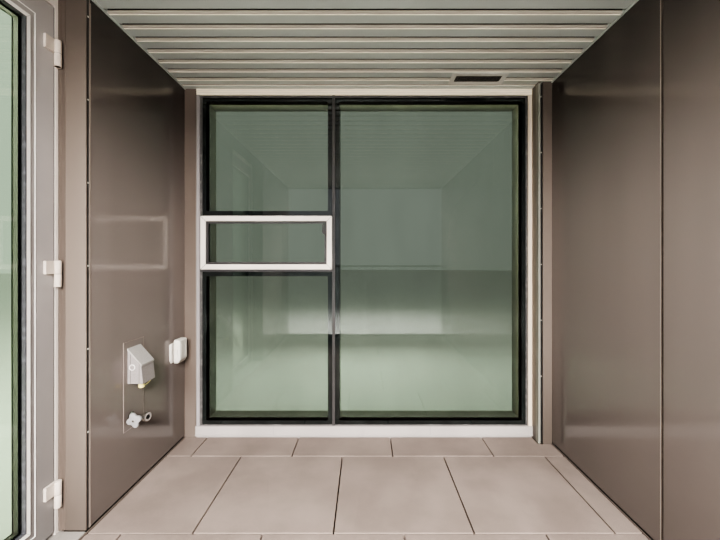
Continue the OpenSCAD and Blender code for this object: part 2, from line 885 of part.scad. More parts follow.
module door_glass() {
    color("lightcyan", 0.4)
        block([door_glass_x - door_glass_t, door_glass_x], [opening_y0, opening_y1],
              [opening_z0, opening_z1]);
}

module each_hinge() {
    for (i = [0 : hinge_count - 1])
        translate([axis_x, axis_y, leaf_z0 + hinge_low + i * hinge_pitch])
            children();
}

// The lower halves carry the pins and are fixed to the frame
module hinge_seats() {
    color("white")
        each_hinge() {
            translate([0, 0, -knuckle_h])
                cylinder(r = knuckle_r, h = knuckle_h - knuckle_gap / 2);
            cylinder(r = pin_r, h = pin_in);
            translate([0, 0, -knuckle_gap])
                cylinder(r = pin_r, h = 2 * knuckle_gap);
            block([-axis_out, plate_t - axis_out], [leaf_gap / 2, axis_from_pilaster - glass_clear],
                  [-knuckle_h, -knuckle_gap / 2]);
        }
}

// The upper halves are fixed to the leaf and turn on the pins
module hinge_leaves() {
    color("white")
        each_hinge()
            difference() {
                union() {
                    translate([0, 0, knuckle_gap / 2])
                        cylinder(r = knuckle_r, h = knuckle_h - knuckle_gap / 2);
                    block([-axis_out, plate_t - axis_out], [-plate_w, -leaf_gap / 2],
                          [knuckle_gap / 2, knuckle_h]);
                }
                translate([0, 0, -1])
                    cylinder(r = pin_r + pin_clear, h = pin_in + 2);
            }
}

// A plate with a key cylinder, and a lever on a rose, drawn standing out along +X
module lever_set() {
    rose_r = 1.4 * lever_r;
    key_out = handle_plate_t + 0.6 * lever_r;
    block([0, handle_plate_t], [-handle_plate_w / 2, handle_plate_w / 2],
          [handle_plate_up - handle_plate_h, handle_plate_up]);
    rotate([0, 90, 0])
        cylinder(r = rose_r, h = lever_out / 2);
    rotate([0, 90, 0])
        cylinder(r = lever_r, h = lever_out);
    translate([lever_out, 0, 0]) {
        sphere(r = lever_r);
        rotate([-90, 0, 0])
            cylinder(r = lever_r, h = lever_len);
        translate([0, lever_len, 0])
            sphere(r = lever_r);
    }
    translate([0, 0, -key_drop])
        rotate([0, 90, 0])
            cylinder(r = lever_r, h = key_out);
}

module door_handle() {
    color("silver")
        translate([0, leaf_y0 + handle_in, floor_z + handle_z]) {
            translate([face_x, 0, 0])
                lever_set();
            translate([leaf_back_x, 0, 0])
                mirror([1, 0, 0])
                    lever_set();
        }
}

module guard_shoe() {
    half = shoe_w / 2;
    slot = guard_glass_t / 2 + slot_clear;
    z1 = floor_z + shoe_rise;
    color("dimgray")
        run_x([-wall_in, wall_in])
            translate([guard_mid, 0])
                polygon([[-half, slab_t], [half, slab_t], [half, z1], [slot, z1], [slot, guard_glass_z0],
                         [-slot, guard_glass_z0], [-slot, z1], [-half, z1]]);
}

module guard_glass() {
    y = [guard_mid - guard_glass_t / 2, guard_mid + guard_glass_t / 2];
    z = [guard_glass_z0, guard_glass_z1];
    inner = guard_pane_gap / 2;
    outer = wall_in - 2 * glass_clear;
    color("lightcyan", 0.4) {
        block([-outer, -inner], y, z);
        block([inner, outer], y, z);
    }
}

module guard_rail() {
    half = rail_w / 2;
    slot = guard_glass_t / 2 + slot_clear;
    z0 = guard_top - rail_h;
    soft = rail_h / 6;
    color("dimgray")
        run_x([-wall_in, wall_in])
            translate([guard_mid, 0])
                polygon([[-half, z0], [-slot, z0], [-slot, guard_glass_z1], [slot, guard_glass_z1],
                         [slot, z0], [half, z0], [half, guard_top - soft], [half - soft, guard_top],
                         [soft - half, guard_top], [-half, guard_top - soft]]);
}

module access_plate() {
    color("sienna")
        block([-wall_in, access_t - wall_in],
              [win_y - plate_back - access_w / 2, win_y - plate_back + access_w / 2],
              [floor_z + access_low, floor_z + access_low + access_h]);
}

// The side of the gas box in X and Z, from the wall to its front
module box_side(inset) {
    polygon([[0, 0], [box_out - inset, 0], [box_out - box_lean - inset, box_front_h - inset],
             [0, box_back_h - inset]]);
}

// The box is open below, with a hood that overhangs its sides, a round lock and a capped outlet
module gas_box() {
    x = access_t - wall_in;
    y = [win_y - plate_back - box_w / 2, win_y - plate_back + box_w / 2];
    z = floor_z + box_low;
    hood = 2 * box_sheet;
    top_out = box_out - box_lean;
    pipe_x = box_out - 2 * outlet_r;
    pipe_y = y[0] + 2 * outlet_r;
    color("lightgray") {
        run_y(y)
            difference() {
                translate([x, z])
                    box_side(0);
                translate([x + box_sheet, z - box_sheet])
                    box_side(2 * box_sheet);
            }
        for (side = [y[0], y[1] - box_sheet])
            run_y([side, side + box_sheet])
                translate([x, z])
                    box_side(0);
        run_y([y[0] - box_sheet, y[1] + box_sheet])
            translate([x, z])
                polygon([[0, box_back_h - box_sheet / 2], [top_out, box_front_h - box_sheet / 2],
                         [top_out, box_front_h - hood], [top_out + box_sheet, box_front_h - hood],
                         [top_out + box_sheet, box_front_h], [0, box_back_h + box_sheet]]);
        translate([x + lock_out, y[0], z + lock_up])
            rotate([90, 0, 0])
                cylinder(r = lock_r, h = box_sheet);
        translate([x + pipe_x, pipe_y, z - outlet_drop])
            cylinder(r = outlet_r, h = outlet_drop + box_front_h / 2);
        translate([x, pipe_y - outlet_r / 2, z + box_front_h / 2 - outlet_r])
            cube([pipe_x, outlet_r, outlet_r]);
    }
}

// A cross-section of the wheel: a hub with round lobes
module wheel_plan() {
    lobe_r = wheel_r / 3;
    circle(r = 2 * lobe_r);
    for (i = [0 : wheel_lobes - 1])
        rotate(i * 360 / wheel_lobes + wheel_turn)
            hull() {
                circle(r = lobe_r / 2);
                translate([wheel_r - lobe_r, 0])
                    circle(r = lobe_r);
            }
}

// A wall flange, a body with an open cup at its end, and a wheel on a spindle at its side
module hose_tap() {
    flange_r = 2 * tap_r;
    flange_t = tap_r / 2;
    spindle_r = tap_r / 2;
    cup_x = tap_out - cup_l;
    color("white")
        translate([access_t - wall_in, win_y - tap_back, floor_z + tap_z]) {
            rotate([0, 90, 0]) {
                cylinder(r = flange_r, h = flange_t);
                cylinder(r = tap_r, h = cup_x + tap_r / 2);
            }
            translate([cup_x, 0, 0])
                rotate([0, 90, -cup_turn])
                    difference() {
                        cylinder(r = cup_r, h = cup_l);
                        translate([0, 0, tap_r])
                            cylinder(r = tap_r, h = cup_l);
                    }
            translate([wheel_out, 0, 0])
                rotate([90, 0, 0]) {
                    cylinder(r = tap_r, h = wheel_near / 2);
                    cylinder(r = spindle_r, h = wheel_near);
                    translate([0, 0, wheel_near - wheel_t])
                        linear_extrude(wheel_t)
                            wheel_plan();
                }
        }
}

module rounded_face(w, h, r) {
    offset(r = r)
        square([w - 2 * r, h - 2 * r], center = true);
}

// A back box and a taller domed cover whose face slopes in on every side
module socket_cover() {
    corner_r = 12;
    lip = 2;
    face_out = 0.7 * socket_out;
    half_w = cover_w / 2;
    half_h = cover_h / 2;
    side_in = cover_slope / 2;
    color("white")
        translate([-wall_in, win_y - socket_back, floor_z + socket_mid]) {
            run_x([0, socket_back_t])
                rounded_face(socket_w, socket_h, corner_r);
            translate([0, (socket_w - cover_w) / 2 + lip, 0])
                intersection() {
                    run_x([socket_back_t - lip, socket_out])
                        rounded_face(cover_w, cover_h, corner_r);
                    run_y([-half_w - lip, half_w + lip])
                        polygon([[0, -half_h - lip], [face_out, -half_h - lip], [face_out, -half_h],
                                 [socket_out, side_in + cover_slope - half_h], [socket_out, half_h - side_in],
                                 [face_out, half_h], [face_out, half_h + lip], [0, half_h + lip]]);
                    rise([-half_h - lip, half_h + lip])
                        polygon([[0, -half_w - lip], [face_out, -half_w - lip], [face_out, -half_w],
                                 [socket_out, side_in - half_w], [socket_out, half_w - side_in],
                                 [face_out, half_w], [face_out, half_w + lip], [0, half_w + lip]]);
                }
        }
}

floor_slab();
floor_pavers();
wall_base_bars();
left_wall_rear();
left_wall_front();
left_wall_head();
right_wall();
left_inner_cladding();
left_outer_cladding();
right_inner_cladding();
right_outer_cladding();
roof_slab();
roof_cap();
soffit_panels();
soffit_carriers();
soffit_trims();
vent_grille();
left_jamb_strip();
right_jamb_post();
window_jambs();
window_head();
window_sill();
window_mullion();
window_transoms();
window_panes();
awning_sash();
awning_glass();
door_pilasters();
door_frame_jambs();
door_frame_head();
door_threshold();
hinge_seats();
door_stiles();
door_rails();
door_beads();
door_glass();
hinge_leaves();
door_handle();
guard_shoe();
guard_glass();
guard_rail();
access_plate();
gas_box();
hose_tap();
socket_cover();
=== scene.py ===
"""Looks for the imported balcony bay: procedural finishes, fine trims and fittings, and a plain studio."""
import json
import math
import bmesh
import bpy
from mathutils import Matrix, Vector


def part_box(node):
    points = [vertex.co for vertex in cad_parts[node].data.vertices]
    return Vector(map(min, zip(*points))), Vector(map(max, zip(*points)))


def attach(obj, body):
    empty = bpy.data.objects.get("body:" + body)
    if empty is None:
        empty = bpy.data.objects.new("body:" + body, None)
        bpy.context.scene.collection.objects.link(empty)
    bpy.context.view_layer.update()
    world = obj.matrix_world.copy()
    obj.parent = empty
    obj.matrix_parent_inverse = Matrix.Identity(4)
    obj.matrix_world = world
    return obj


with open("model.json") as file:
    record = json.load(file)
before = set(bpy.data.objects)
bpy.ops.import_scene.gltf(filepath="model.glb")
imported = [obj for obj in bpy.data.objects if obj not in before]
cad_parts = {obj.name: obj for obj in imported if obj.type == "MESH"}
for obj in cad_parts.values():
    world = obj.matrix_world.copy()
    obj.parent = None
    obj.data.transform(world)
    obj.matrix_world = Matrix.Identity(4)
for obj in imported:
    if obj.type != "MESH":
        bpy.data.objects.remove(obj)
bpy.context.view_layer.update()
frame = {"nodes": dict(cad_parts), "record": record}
NODES = frame["nodes"]

MM = 0.001
BAY, DOOR = "bay", "door"
RING_STEPS, BAND_STEPS = 4, 5

# Sizes that the trims share with the CAD part, in mm
FRAME_FACE = 26
GLASS_MARGIN = 25
MULLION_HALF = 9
BODY_REVEAL = 29
SASH_FACE = 34
SASH_BEAD = 15
SASH_BEAD_SET = 2
SASH_SIDE_GAP = 9
LOW_STRIP = 15
HIGH_STRIP = 6
POST_LEG = 14
POST_JOINT = 15
POST_JOINT_DEPTH = 60
PANEL_T = 8
PILASTER_GAP = 10
PILASTER_AT = 850
CLIP_PITCH = 366
FIRST_GROOVE = 130
PLANK_MODULE = 102
GROOVE_W = 25
GROOVE_DEPTH = 17
DOOR_BEAD_W = 20
VENT_FLANGE = 30
TALL_PANEL = 1000
WIDEST_JOINT = 30


def span(node, axis):
    """The range that a CAD node takes along one axis."""
    low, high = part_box(node)
    return low[axis], high[axis]


def spans(node):
    """The ranges that a CAD node takes along X, Y and Z."""
    return tuple(zip(*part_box(node)))


def moved(ends, low, high):
    """A range with each end moved by a distance in mm."""
    return (ends[0] + low * MM, ends[1] + high * MM)


def inset(rect, by):
    """A list of ranges, each made smaller at both ends by a distance in mm."""
    return tuple(moved(ends, by, -by) for ends in rect)


def off(base, low, high, side=1):
    """The range between two offsets in mm from a base, to one side of it."""
    return tuple(sorted((base + side * low * MM, base + side * high * MM)))


def points(u, v, *steps):
    """An outline given as offsets in mm from one point."""
    return [(u + du * MM, v + dv * MM) for du, dv in steps]


def middle(ends):
    return sum(ends) / 2


WIN_Y = span("left_jamb_strip", 1)[0]
FLOOR_Z = span("floor_pavers", 2)[1]
SOFFIT_Z = span("soffit_panels", 2)[0]
WALL_X = span("right_inner_cladding", 0)[0]
BETWEEN_WALLS = (-WALL_X, WALL_X)
OUTER_X = span("right_outer_cladding", 0)[1]
FRONT_Y = span("floor_slab", 1)[0]
POST_Y = span("right_jamb_post", 1)[0]
VENT_OPENING = inset(spans("vent_grille")[:2], VENT_FLANGE)
LEAF_X, LEAF_Y, LEAF_Z = spans("door_stiles")
THRESHOLD_Z = LEAF_Z[0] - 14 * MM
HINGE_AXIS = (LEAF_X[1] + 15 * MM, LEAF_Y[1] + 2.5 * MM)


# Mesh helpers

def along_x(u, v, w):
    """Outline in Y and Z, run along X."""
    return (w, u, v)


def along_y(u, v, w):
    """Outline in X and Z, run along Y."""
    return (u, w, v)


def along_z(u, v, w):
    """Plan in X and Y, raised along Z."""
    return (u, v, w)


def round_angles(count):
    return [360 * i / count for i in range(count)]


def on_arc(centre, radius, degrees):
    """A point at an angle round a centre."""
    angle = math.radians(degrees)
    return (centre[0] + radius * math.cos(angle), centre[1] + radius * math.sin(angle))


def arc_centres(rect, radius):
    """The centres of a rectangle's rounded corners, each with the angle its arc starts from."""
    (u0, u1), (v0, v1) = rect
    return (((u1 - radius, v0 + radius), -90), ((u1 - radius, v1 - radius), 0),
            ((u0 + radius, v1 - radius), 90), ((u0 + radius, v0 + radius), 180))


def rounded_rect(rect, radius, steps):
    """Points round a rectangle with rounded corners."""
    return [on_arc(centre, radius, start + 90 * i / steps)
            for centre, start in arc_centres(rect, radius) for i in range(steps + 1)]


def square_rect(outer, inner, radius, steps):
    """Points round an outer rectangle that match those of an inner one with rounded corners."""
    (a0, a1), (b0, b1) = outer
    corners = ((a1, b0), (a1, b1), (a0, b1), (a0, b0))
    found = []
    for (ou, ov), ((cu, cv), start) in zip(corners, arc_centres(inner, radius)):
        first, last = ((cu, ov), (ou, cv)) if start in (-90, 90) else ((ou, cv), (cu, ov))
        for i in range(steps + 1):
            share = 2 * i / steps
            p, q, t = (first, (ou, ov), share) if share <= 1 else ((ou, ov), last, share - 1)
            found.append((p[0] + (q[0] - p[0]) * t, p[1] + (q[1] - p[1]) * t))
    return found


class Piece:
    """A fine piece in the making, with a call for each kind of solid; its bevel is in mm."""

    made = []

    def __init__(self, name, slot, finish=None, body=BAY, bevel=0.0, smooth=False):
        self.bm = bmesh.new()
        self.name, self.slot, self.body = name, slot, body
        self.material = FINISHES[finish or slot]
        self.bevel, self.smooth = bevel, smooth
        Piece.made.append(self)

    def loop(self, found):
        return [self.bm.verts.new(point) for point in found]

    def skin(self, low, high):
        """Faces between two loops with the same number of corners."""
        count = len(low)
        for i in range(count):
            j = (i + 1) % count
            self.bm.faces.new((low[i], low[j], high[j], high[i]))

    def box(self, x, y, z):
        corners = self.loop((a, b, c) for a in x for b in y for c in z)
        for quad in ((0, 1, 3, 2), (4, 6, 7, 5), (0, 4, 5, 1), (2, 3, 7, 6), (0, 2, 6, 4), (1, 5, 7, 3)):
            self.bm.faces.new([corners[i] for i in quad])

    def prism(self, outline, place, low, high):
        """A prism: outline is a list of (u, v), and place(u, v, w) gives the point."""
        rows = [self.loop(place(u, v, w) for u, v in outline) for w in (low, high)]
        self.bm.faces.new(rows[0])
        self.bm.faces.new(rows[1])
        self.skin(*rows)

    def rim(self, outside, inside, place, depth):
        """A flat frame between two outlines with the same number of points."""
        loops = [self.loop(place(u, v, w) for u, v in found) for found in (outside, inside) for w in depth]
        out_low, out_high, in_low, in_high = loops
        count = len(outside)
        for i in range(count):
            j = (i + 1) % count
            for a, b in ((out_low, out_high), (in_low, in_high), (out_low, in_low), (out_high, in_high)):
                self.bm.faces.new((a[i], a[j], b[j], b[i]))

    def ring(self, place, outer, inner, depth, radius):
        """A flat frame between two rectangles, with inner corners rounded by a radius in mm."""
        corner = (radius * MM, RING_STEPS)
        self.rim(square_rect(outer, inner, *corner), rounded_rect(inner, *corner), place, depth)

    def band(self, rect, radius, width, depth):
        """A band in Y and Z along a rounded rectangle; its radius and width are in mm."""
        inner = rounded_rect(inset(rect, width), (radius - width) * MM, BAND_STEPS)
        self.rim(rounded_rect(rect, radius * MM, BAND_STEPS), inner, along_x, depth)

    def rings(self, centre, axis, profile, segments):
        """The loops of a turned shape: profile lists (distance along the axis, radius) in mm."""
        turn = Vector(axis).to_track_quat("Z", "Y").to_matrix()
        return [self.loop(Vector(centre) + turn @ Vector((*on_arc((0, 0), radius * MM, angle), along * MM))
                          for angle in round_angles(segments)) for along, radius in profile]

    def close(self, rings):
        """A solid from a row of loops, closed at both ends."""
        self.bm.faces.new(rings[0])
        self.bm.faces.new(rings[-1])
        for low, high in zip(rings, rings[1:]):
            self.skin(low, high)

    def turn(self, centre, axis, profile, segments=24):
        self.close(self.rings(centre, axis, profile, segments))

    def hoop(self, centre, axis, profile, segments=36):
        """A turned ring: its profile is a closed loop."""
        rings = self.rings(centre, axis, profile, segments)
        for low, high in zip(rings, rings[1:] + rings[:1]):
            self.skin(low, high)

    def tube(self, path, radius, segments):
        """A round bar along a path of points, closed at both ends."""
        path = [Vector(p) for p in path]
        rings = []
        side = None
        for i, point in enumerate(path):
            ahead = path[min(i + 1, len(path) - 1)] - path[max(i - 1, 0)]
            ahead.normalize()
            if side is None:
                side = ahead.orthogonal().normalized()
            side = (side - ahead * side.dot(ahead)).normalized()
            other = ahead.cross(side)
            ring = [on_arc((0, 0), radius, angle) for angle in round_angles(segments)]
            rings.append(self.loop(point + side * u + other * v for u, v in ring))
        self.close(rings)

    def screw(self, centre, axis, radius):
        """A pan-head screw with a small dished middle, standing on the surface at centre."""
        shares = ((0, 1), (0.25, 1), (0.5, 0.8), (0.6, 0.4), (0.42, 0.32))
        self.turn(centre, axis, [(along * radius, across * radius) for along, across in shares], 16)

    def mitres(self, rect, run, half, place, depth):
        """Fine lines across the corners of a frame; sizes are in mm."""
        (u0, u1), (v0, v1) = rect
        for u_side, u in ((1, u0), (-1, u1)):
            for v_side, v in ((1, v0), (-1, v1)):
                steps = (2 * half, 0), (run + half, run - half), (run - half, run + half), (0, 2 * half)
                self.prism(points(u, v, *((u_side * a, v_side * b) for a, b in steps)), place, *depth)

    def finish(self):
        """Turns what was built into an object that rides on its body."""
        bmesh.ops.recalc_face_normals(self.bm, faces=self.bm.faces)
        obj = mesh_object(self.name, self.bm, self.material)
        if self.bevel:
            soften(obj, self.bevel)
        if self.smooth:
            obj.data.shade_smooth()
        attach(obj, self.body)


def mesh_object(name, bm, material):
    mesh = bpy.data.meshes.new(name)
    bm.to_mesh(mesh)
    bm.free()
    mesh.materials.append(material)
    return placed(name, mesh)


def placed(name, data):
    """A mesh, a light or a camera as a new object in the scene."""
    obj = bpy.data.objects.new(name, data)
    bpy.context.scene.collection.objects.link(obj)
    return obj


def soften(obj, width):
    """Rounds the sharp edges with a bevel of a width in mm, on welded corners."""
    weld = obj.modifiers.new("weld", "WELD")
    weld.merge_threshold = 0.01 * MM
    edge = obj.modifiers.new("edge", "BEVEL")
    edge.width = width * MM
    edge.segments = 2
    edge.limit_method = "ANGLE"
    edge.angle_limit = math.radians(40)
    edge.use_clamp_overlap = True
    edge.harden_normals = False


# Materials

class Finish:
    """A node material under way: the tone so far, and short calls for the nodes."""

    def __init__(self):
        self.material = bpy.data.materials.new("finish")
        self.material.use_nodes = True
        self.tree = self.material.node_tree
        self.tree.nodes.clear()
        self.bsdf = self.tree.nodes.new("ShaderNodeBsdfPrincipled")
        out = self.tree.nodes.new("ShaderNodeOutputMaterial")
        self.feed(out.inputs["Surface"], self.bsdf.outputs["BSDF"])
        self.place = self.node("ShaderNodeTexCoord", "Object", {})

    def feed(self, socket, value):
        """A socket takes a number, a colour, a vector or another node's output."""
        if isinstance(value, tuple):
            socket.default_value = (*value, 1.0) if socket.type == "RGBA" else value
        elif isinstance(value, (int, float)):
            socket.default_value = value
        else:
            self.tree.links.new(value, socket)

    def node(self, kind, output, inputs, **settings):
        """Adds a node with its settings and inputs, and gives one of its outputs."""
        node = self.tree.nodes.new(kind)
        for key, value in settings.items():
            setattr(node, key, value)
        for key, value in inputs.items():
            self.feed(node.inputs[key], value)
        return node.outputs[output]

    def noise(self, scale, detail=2.0, stretch=None, rough=0.5):
        place = self.place
        if stretch:
            place = self.node("ShaderNodeMapping", "Vector", {"Vector": place, "Scale": stretch})
        inputs = {"Vector": place, "Scale": scale, "Detail": detail, "Roughness": rough}
        return self.node("ShaderNodeTexNoise", "Fac", inputs)

    def cells(self, scale, output="Distance"):
        return self.node("ShaderNodeTexVoronoi", output, {"Vector": self.place, "Scale": scale})

    def cell_tones(self, scale):
        """One grey tone for each cell."""
        return self.node("ShaderNodeRGBToBW", 0, {0: self.cells(scale, "Color")})

    def axis(self, name):
        return self.node("ShaderNodeSeparateXYZ", name, {0: self.place})

    def ranged(self, value, low, high, to_low=0.0, to_high=1.0):
        inputs = {"Value": value, "From Min": low, "From Max": high, "To Min": to_low, "To Max": to_high}
        return self.node("ShaderNodeMapRange", "Result", inputs, interpolation_type="SMOOTHSTEP")

    def times(self, a, b):
        return self.node("ShaderNodeMath", 0, {0: a, 1: b}, operation="MULTIPLY")

    def blend(self, share, a, b):
        return self.node("ShaderNodeMix", 2, {0: share, 6: a, 7: b}, data_type="RGBA")

    def base(self, value, low, high, a, b):
        """The first tone, from one colour to another as a value rises."""
        self.tone = self.blend(self.ranged(value, low, high), a, b)

    def over(self, value, low, high, colour, share=1.0):
        """A colour that covers a share of the tone where a value is high."""
        self.tone = self.blend(self.ranged(value, low, high, 0.0, share), self.tone, colour)

    def under(self, value, low, high, colour):
        """A colour in place of the tone where a value is low."""
        self.tone = self.blend(self.ranged(value, low, high), colour, self.tone)

    def bump(self, height, distance, strength, beneath=None):
        """Relief of a distance in mm, on top of another relief if one is given."""
        inputs = {"Strength": strength, "Distance": distance * MM, "Height": height}
        if beneath is not None:
            inputs["Normal"] = beneath
        normal = self.node("ShaderNodeBump", "Normal", inputs)
        self.feed(self.bsdf.inputs["Normal"], normal)
        return normal

    def done(self, roughness, **fixed):
        """Joins the tone, the roughness and any fixed values to the shader."""
        self.feed(self.bsdf.inputs["Base Color"], self.tone)
        self.feed(self.bsdf.inputs["Roughness"], roughness)
        for key, value in fixed.items():
            self.feed(self.bsdf.inputs[key.replace("_", " ")], value)
        return self.material


def shade(colour, factor):
    return tuple(min(1.0, c * factor) for c in colour)


def paint_front_shade(f, colour, share, reach):
    """Painted shade: the coat is darker towards the open front, where the lamps light it most strongly."""
    f.under(f.axis("Y"), FRONT_Y, FRONT_Y + reach, shade(colour, 1 - share))


def coated_metal(colour, rough, clouding, grime=0.0, mid_painted_light=0.0, soffit_painted_shade=0.0, front=None, foot=0.0):
    """Satin coated sheet with run marks; grime and foot act near the floor. The mid-height band is painted
    light, and the darker top under the soffit and the darker open front are painted shade.
    """
    f = Finish()
    height = f.axis("Z")
    f.base(f.noise(0.9, 1.0), 0.0, 1.0, shade(colour, 1 - clouding), shade(colour, 1 + clouding))
    # Painted light: a lighter band at mid height.
    if mid_painted_light:
        f.over(height, FLOOR_Z + 0.3, FLOOR_Z + 1.3, shade(colour, 1 + mid_painted_light))
    # Painted shade: darker towards the soffit.
    if soffit_painted_shade:
        f.over(height, FLOOR_Z + 1.4, SOFFIT_Z, shade(colour, 1 - soffit_painted_shade))
    f.over(f.noise(5.0, 1.0, (1, 1, 0.06)), 0.4, 1.0, shade(colour, 0.85), 0.3)
    if grime:
        low = f.ranged(height, FLOOR_Z, FLOOR_Z + 0.3, 1.0, 0.0)
        patch = f.times(low, f.noise(6.0, 2.0))
        f.tone = f.blend(f.times(patch, grime), f.tone, (0.27, 0.235, 0.205))
    if foot:
        f.under(height, FLOOR_Z - 0.1, FLOOR_Z + 0.7, shade(colour, 1 - foot))
    # Painted shade: darker towards the open front.
    if front:
        paint_front_shade(f, colour, *front)
    return f.done(f.ranged(f.noise(0.7, 0.0), 0.0, 1.0, *rough))


def plain_coat(colour, rough=(0.32, 0.45), variation=0.07, low=0.0, right=None, outside=None):
    """Satin coated profile with handling marks. It can darken towards the floor as painted shade, take a
    lighter tone at the right as painted light, and darken outside as painted shade.
    """
    f = Finish()
    f.base(f.noise(3.0, 3.0), 0.3, 0.7, shade(colour, 1 - variation), shade(colour, 1 + variation))
    smears = f.noise(22.0, 4.0, (1, 1, 0.25))
    f.over(smears, 0.6, 0.8, shade(colour, 0.84), 0.35)
    # Painted shade: darker towards the floor.
    if low:
        f.under(f.axis("Z"), FLOOR_Z - 0.2, FLOOR_Z + 2.1, shade(colour, 1 - low))
    # Painted light: a lighter tone towards the right.
    if right:
        f.over(f.axis("X"), 0.2, 0.8, right)
    # Painted shade: darker on the outer faces.
    if outside:
        f.over(f.axis("Y"), WIN_Y + 0.03, WIN_Y + 0.12, outside)
    f.bump(f.noise(60.0, 1.0), 0.02, 0.2)
    return f.done(f.ranged(smears, 0.3, 0.75, *rough))


def concrete():
    """Fair-faced concrete: clouds, grain, water marks and pores."""
    f = Finish()
    f.base(f.noise(2.2, 6.0, rough=0.6), 0.3, 0.72, (0.24, 0.231, 0.216), (0.36, 0.351, 0.333))
    grain = f.noise(60.0, 6.0, rough=0.65)
    f.over(grain, 0.45, 0.75, (0.21, 0.204, 0.192), 0.5)
    f.over(f.noise(7.0, 4.0, (1, 1, 0.15)), 0.56, 0.78, (0.17, 0.16, 0.147), 0.45)
    pores = f.ranged(f.cells(38.0), 0.05, 0.16)
    f.tone = f.blend(f.ranged(pores, 0.0, 1.0, 0.55, 0.0), f.tone, (0.125, 0.119, 0.11))
    # Painted shade: the slab is darker towards the open front.
    paint_front_shade(f, (0.3, 0.291, 0.275), 0.6, 0.2)
    f.bump(grain, 0.6, 0.6, f.bump(pores, 1.2, 0.8))
    return f.done(f.ranged(grain, 0.3, 0.7, 0.75, 0.92))


def paving():
    """Tan cast stone: patches, sandy speckle, dark grains and a slight change of tone from cell to cell."""
    f = Finish()
    sand = f.noise(420.0, 4.0, rough=0.7)
    patches = f.noise(3.2, 5.0, rough=0.6)
    f.base(patches, 0.3, 0.7, (0.18, 0.142, 0.124), (0.24, 0.192, 0.168))
    f.over(sand, 0.52, 0.72, (0.44, 0.385, 0.345), 0.55)
    f.over(f.noise(300.0, 3.0), 0.58, 0.74, (0.145, 0.112, 0.092), 0.6)
    f.over(f.cell_tones(1.65), 0.2, 0.8, (0.26, 0.215, 0.185), 0.22)
    f.bump(f.noise(40.0, 4.0), 0.8, 0.5, f.bump(sand, 0.5, 0.7))
    return f.done(f.ranged(patches, 0.3, 0.7, 0.72, 0.88))


def tinted_glass(colour, dust):
    """Clear glass with a green tint, a trace of dust and faint rain marks."""
    f = Finish()
    marks = f.noise(6.0, 5.0, (1, 1, 0.3))
    f.base(marks, 0.3, 0.8, shade(colour, 1.03), shade(colour, 0.95))
    return f.done(f.ranged(marks, 0.45, 0.85, 0.0, dust), Transmission_Weight=1.0, IOR=1.45)


def rubber(colour=(0.018, 0.018, 0.019), rough=(0.38, 0.6)):
    f = Finish()
    wear = f.noise(35.0, 4.0)
    f.base(wear, 0.45, 0.8, colour, shade(colour, 2.0))
    f.bump(f.noise(500.0, 2.0), 0.04, 0.4)
    return f.done(f.ranged(wear, 0.3, 0.7, *rough))


def enamel():
    """The black enamel band round each pane, as glossy as the glass it is on."""
    f = Finish()
    film = f.noise(9.0, 4.0)
    f.base(film, 0.3, 0.8, (0.006, 0.008, 0.008), (0.018, 0.022, 0.021))
    return f.done(f.ranged(film, 0.4, 0.8, 0.03, 0.12), Coat_Weight=0.6, Coat_Roughness=0.03)


def galvanised(colour):
    """Zinc-coated sheet with a fine faint spangle and a soft white bloom."""
    f = Finish()
    spangle = f.cell_tones(260.0)
    bloom = f.noise(7.0, 3.0)
    f.base(spangle, 0.2, 0.8, shade(colour, 0.93), shade(colour, 1.06))
    f.over(bloom, 0.45, 0.75, shade(colour, 1.18), 0.35)
    f.bump(spangle, 0.04, 0.25)
    return f.done(f.ranged(bloom, 0.3, 0.7, 0.42, 0.58), Metallic=0.25)


def bare_metal(colour, rough, stretch=None, scale=60.0):
    """Chromed or brushed metal with smudges; stretch draws the brushing."""
    f = Finish()
    lines = f.noise(scale, 3.0, stretch)
    f.base(f.noise(24.0, 4.0), 0.35, 0.75, colour, shade(colour, 0.8))
    f.bump(lines, 0.03, 0.35)
    return f.done(f.ranged(lines, 0.3, 0.7, *rough), Metallic=1.0)


def moulded(colour):
    """Weathered plastic with fine moulding grain and a few brown marks."""
    f = Finish()
    age = f.noise(9.0, 4.0)
    f.base(age, 0.35, 0.75, colour, shade(colour, 0.88))
    f.over(f.noise(45.0, 4.0), 0.6, 0.8, (0.47, 0.41, 0.34), 0.4)
    f.bump(f.noise(600.0, 2.0), 0.04, 0.4)
    return f.done(f.ranged(age, 0.3, 0.7, 0.35, 0.5))


# Painted shade for the window frame's outer faces.
PAINTED_OUTSIDE_SHADE = (0.25, 0.225, 0.2)

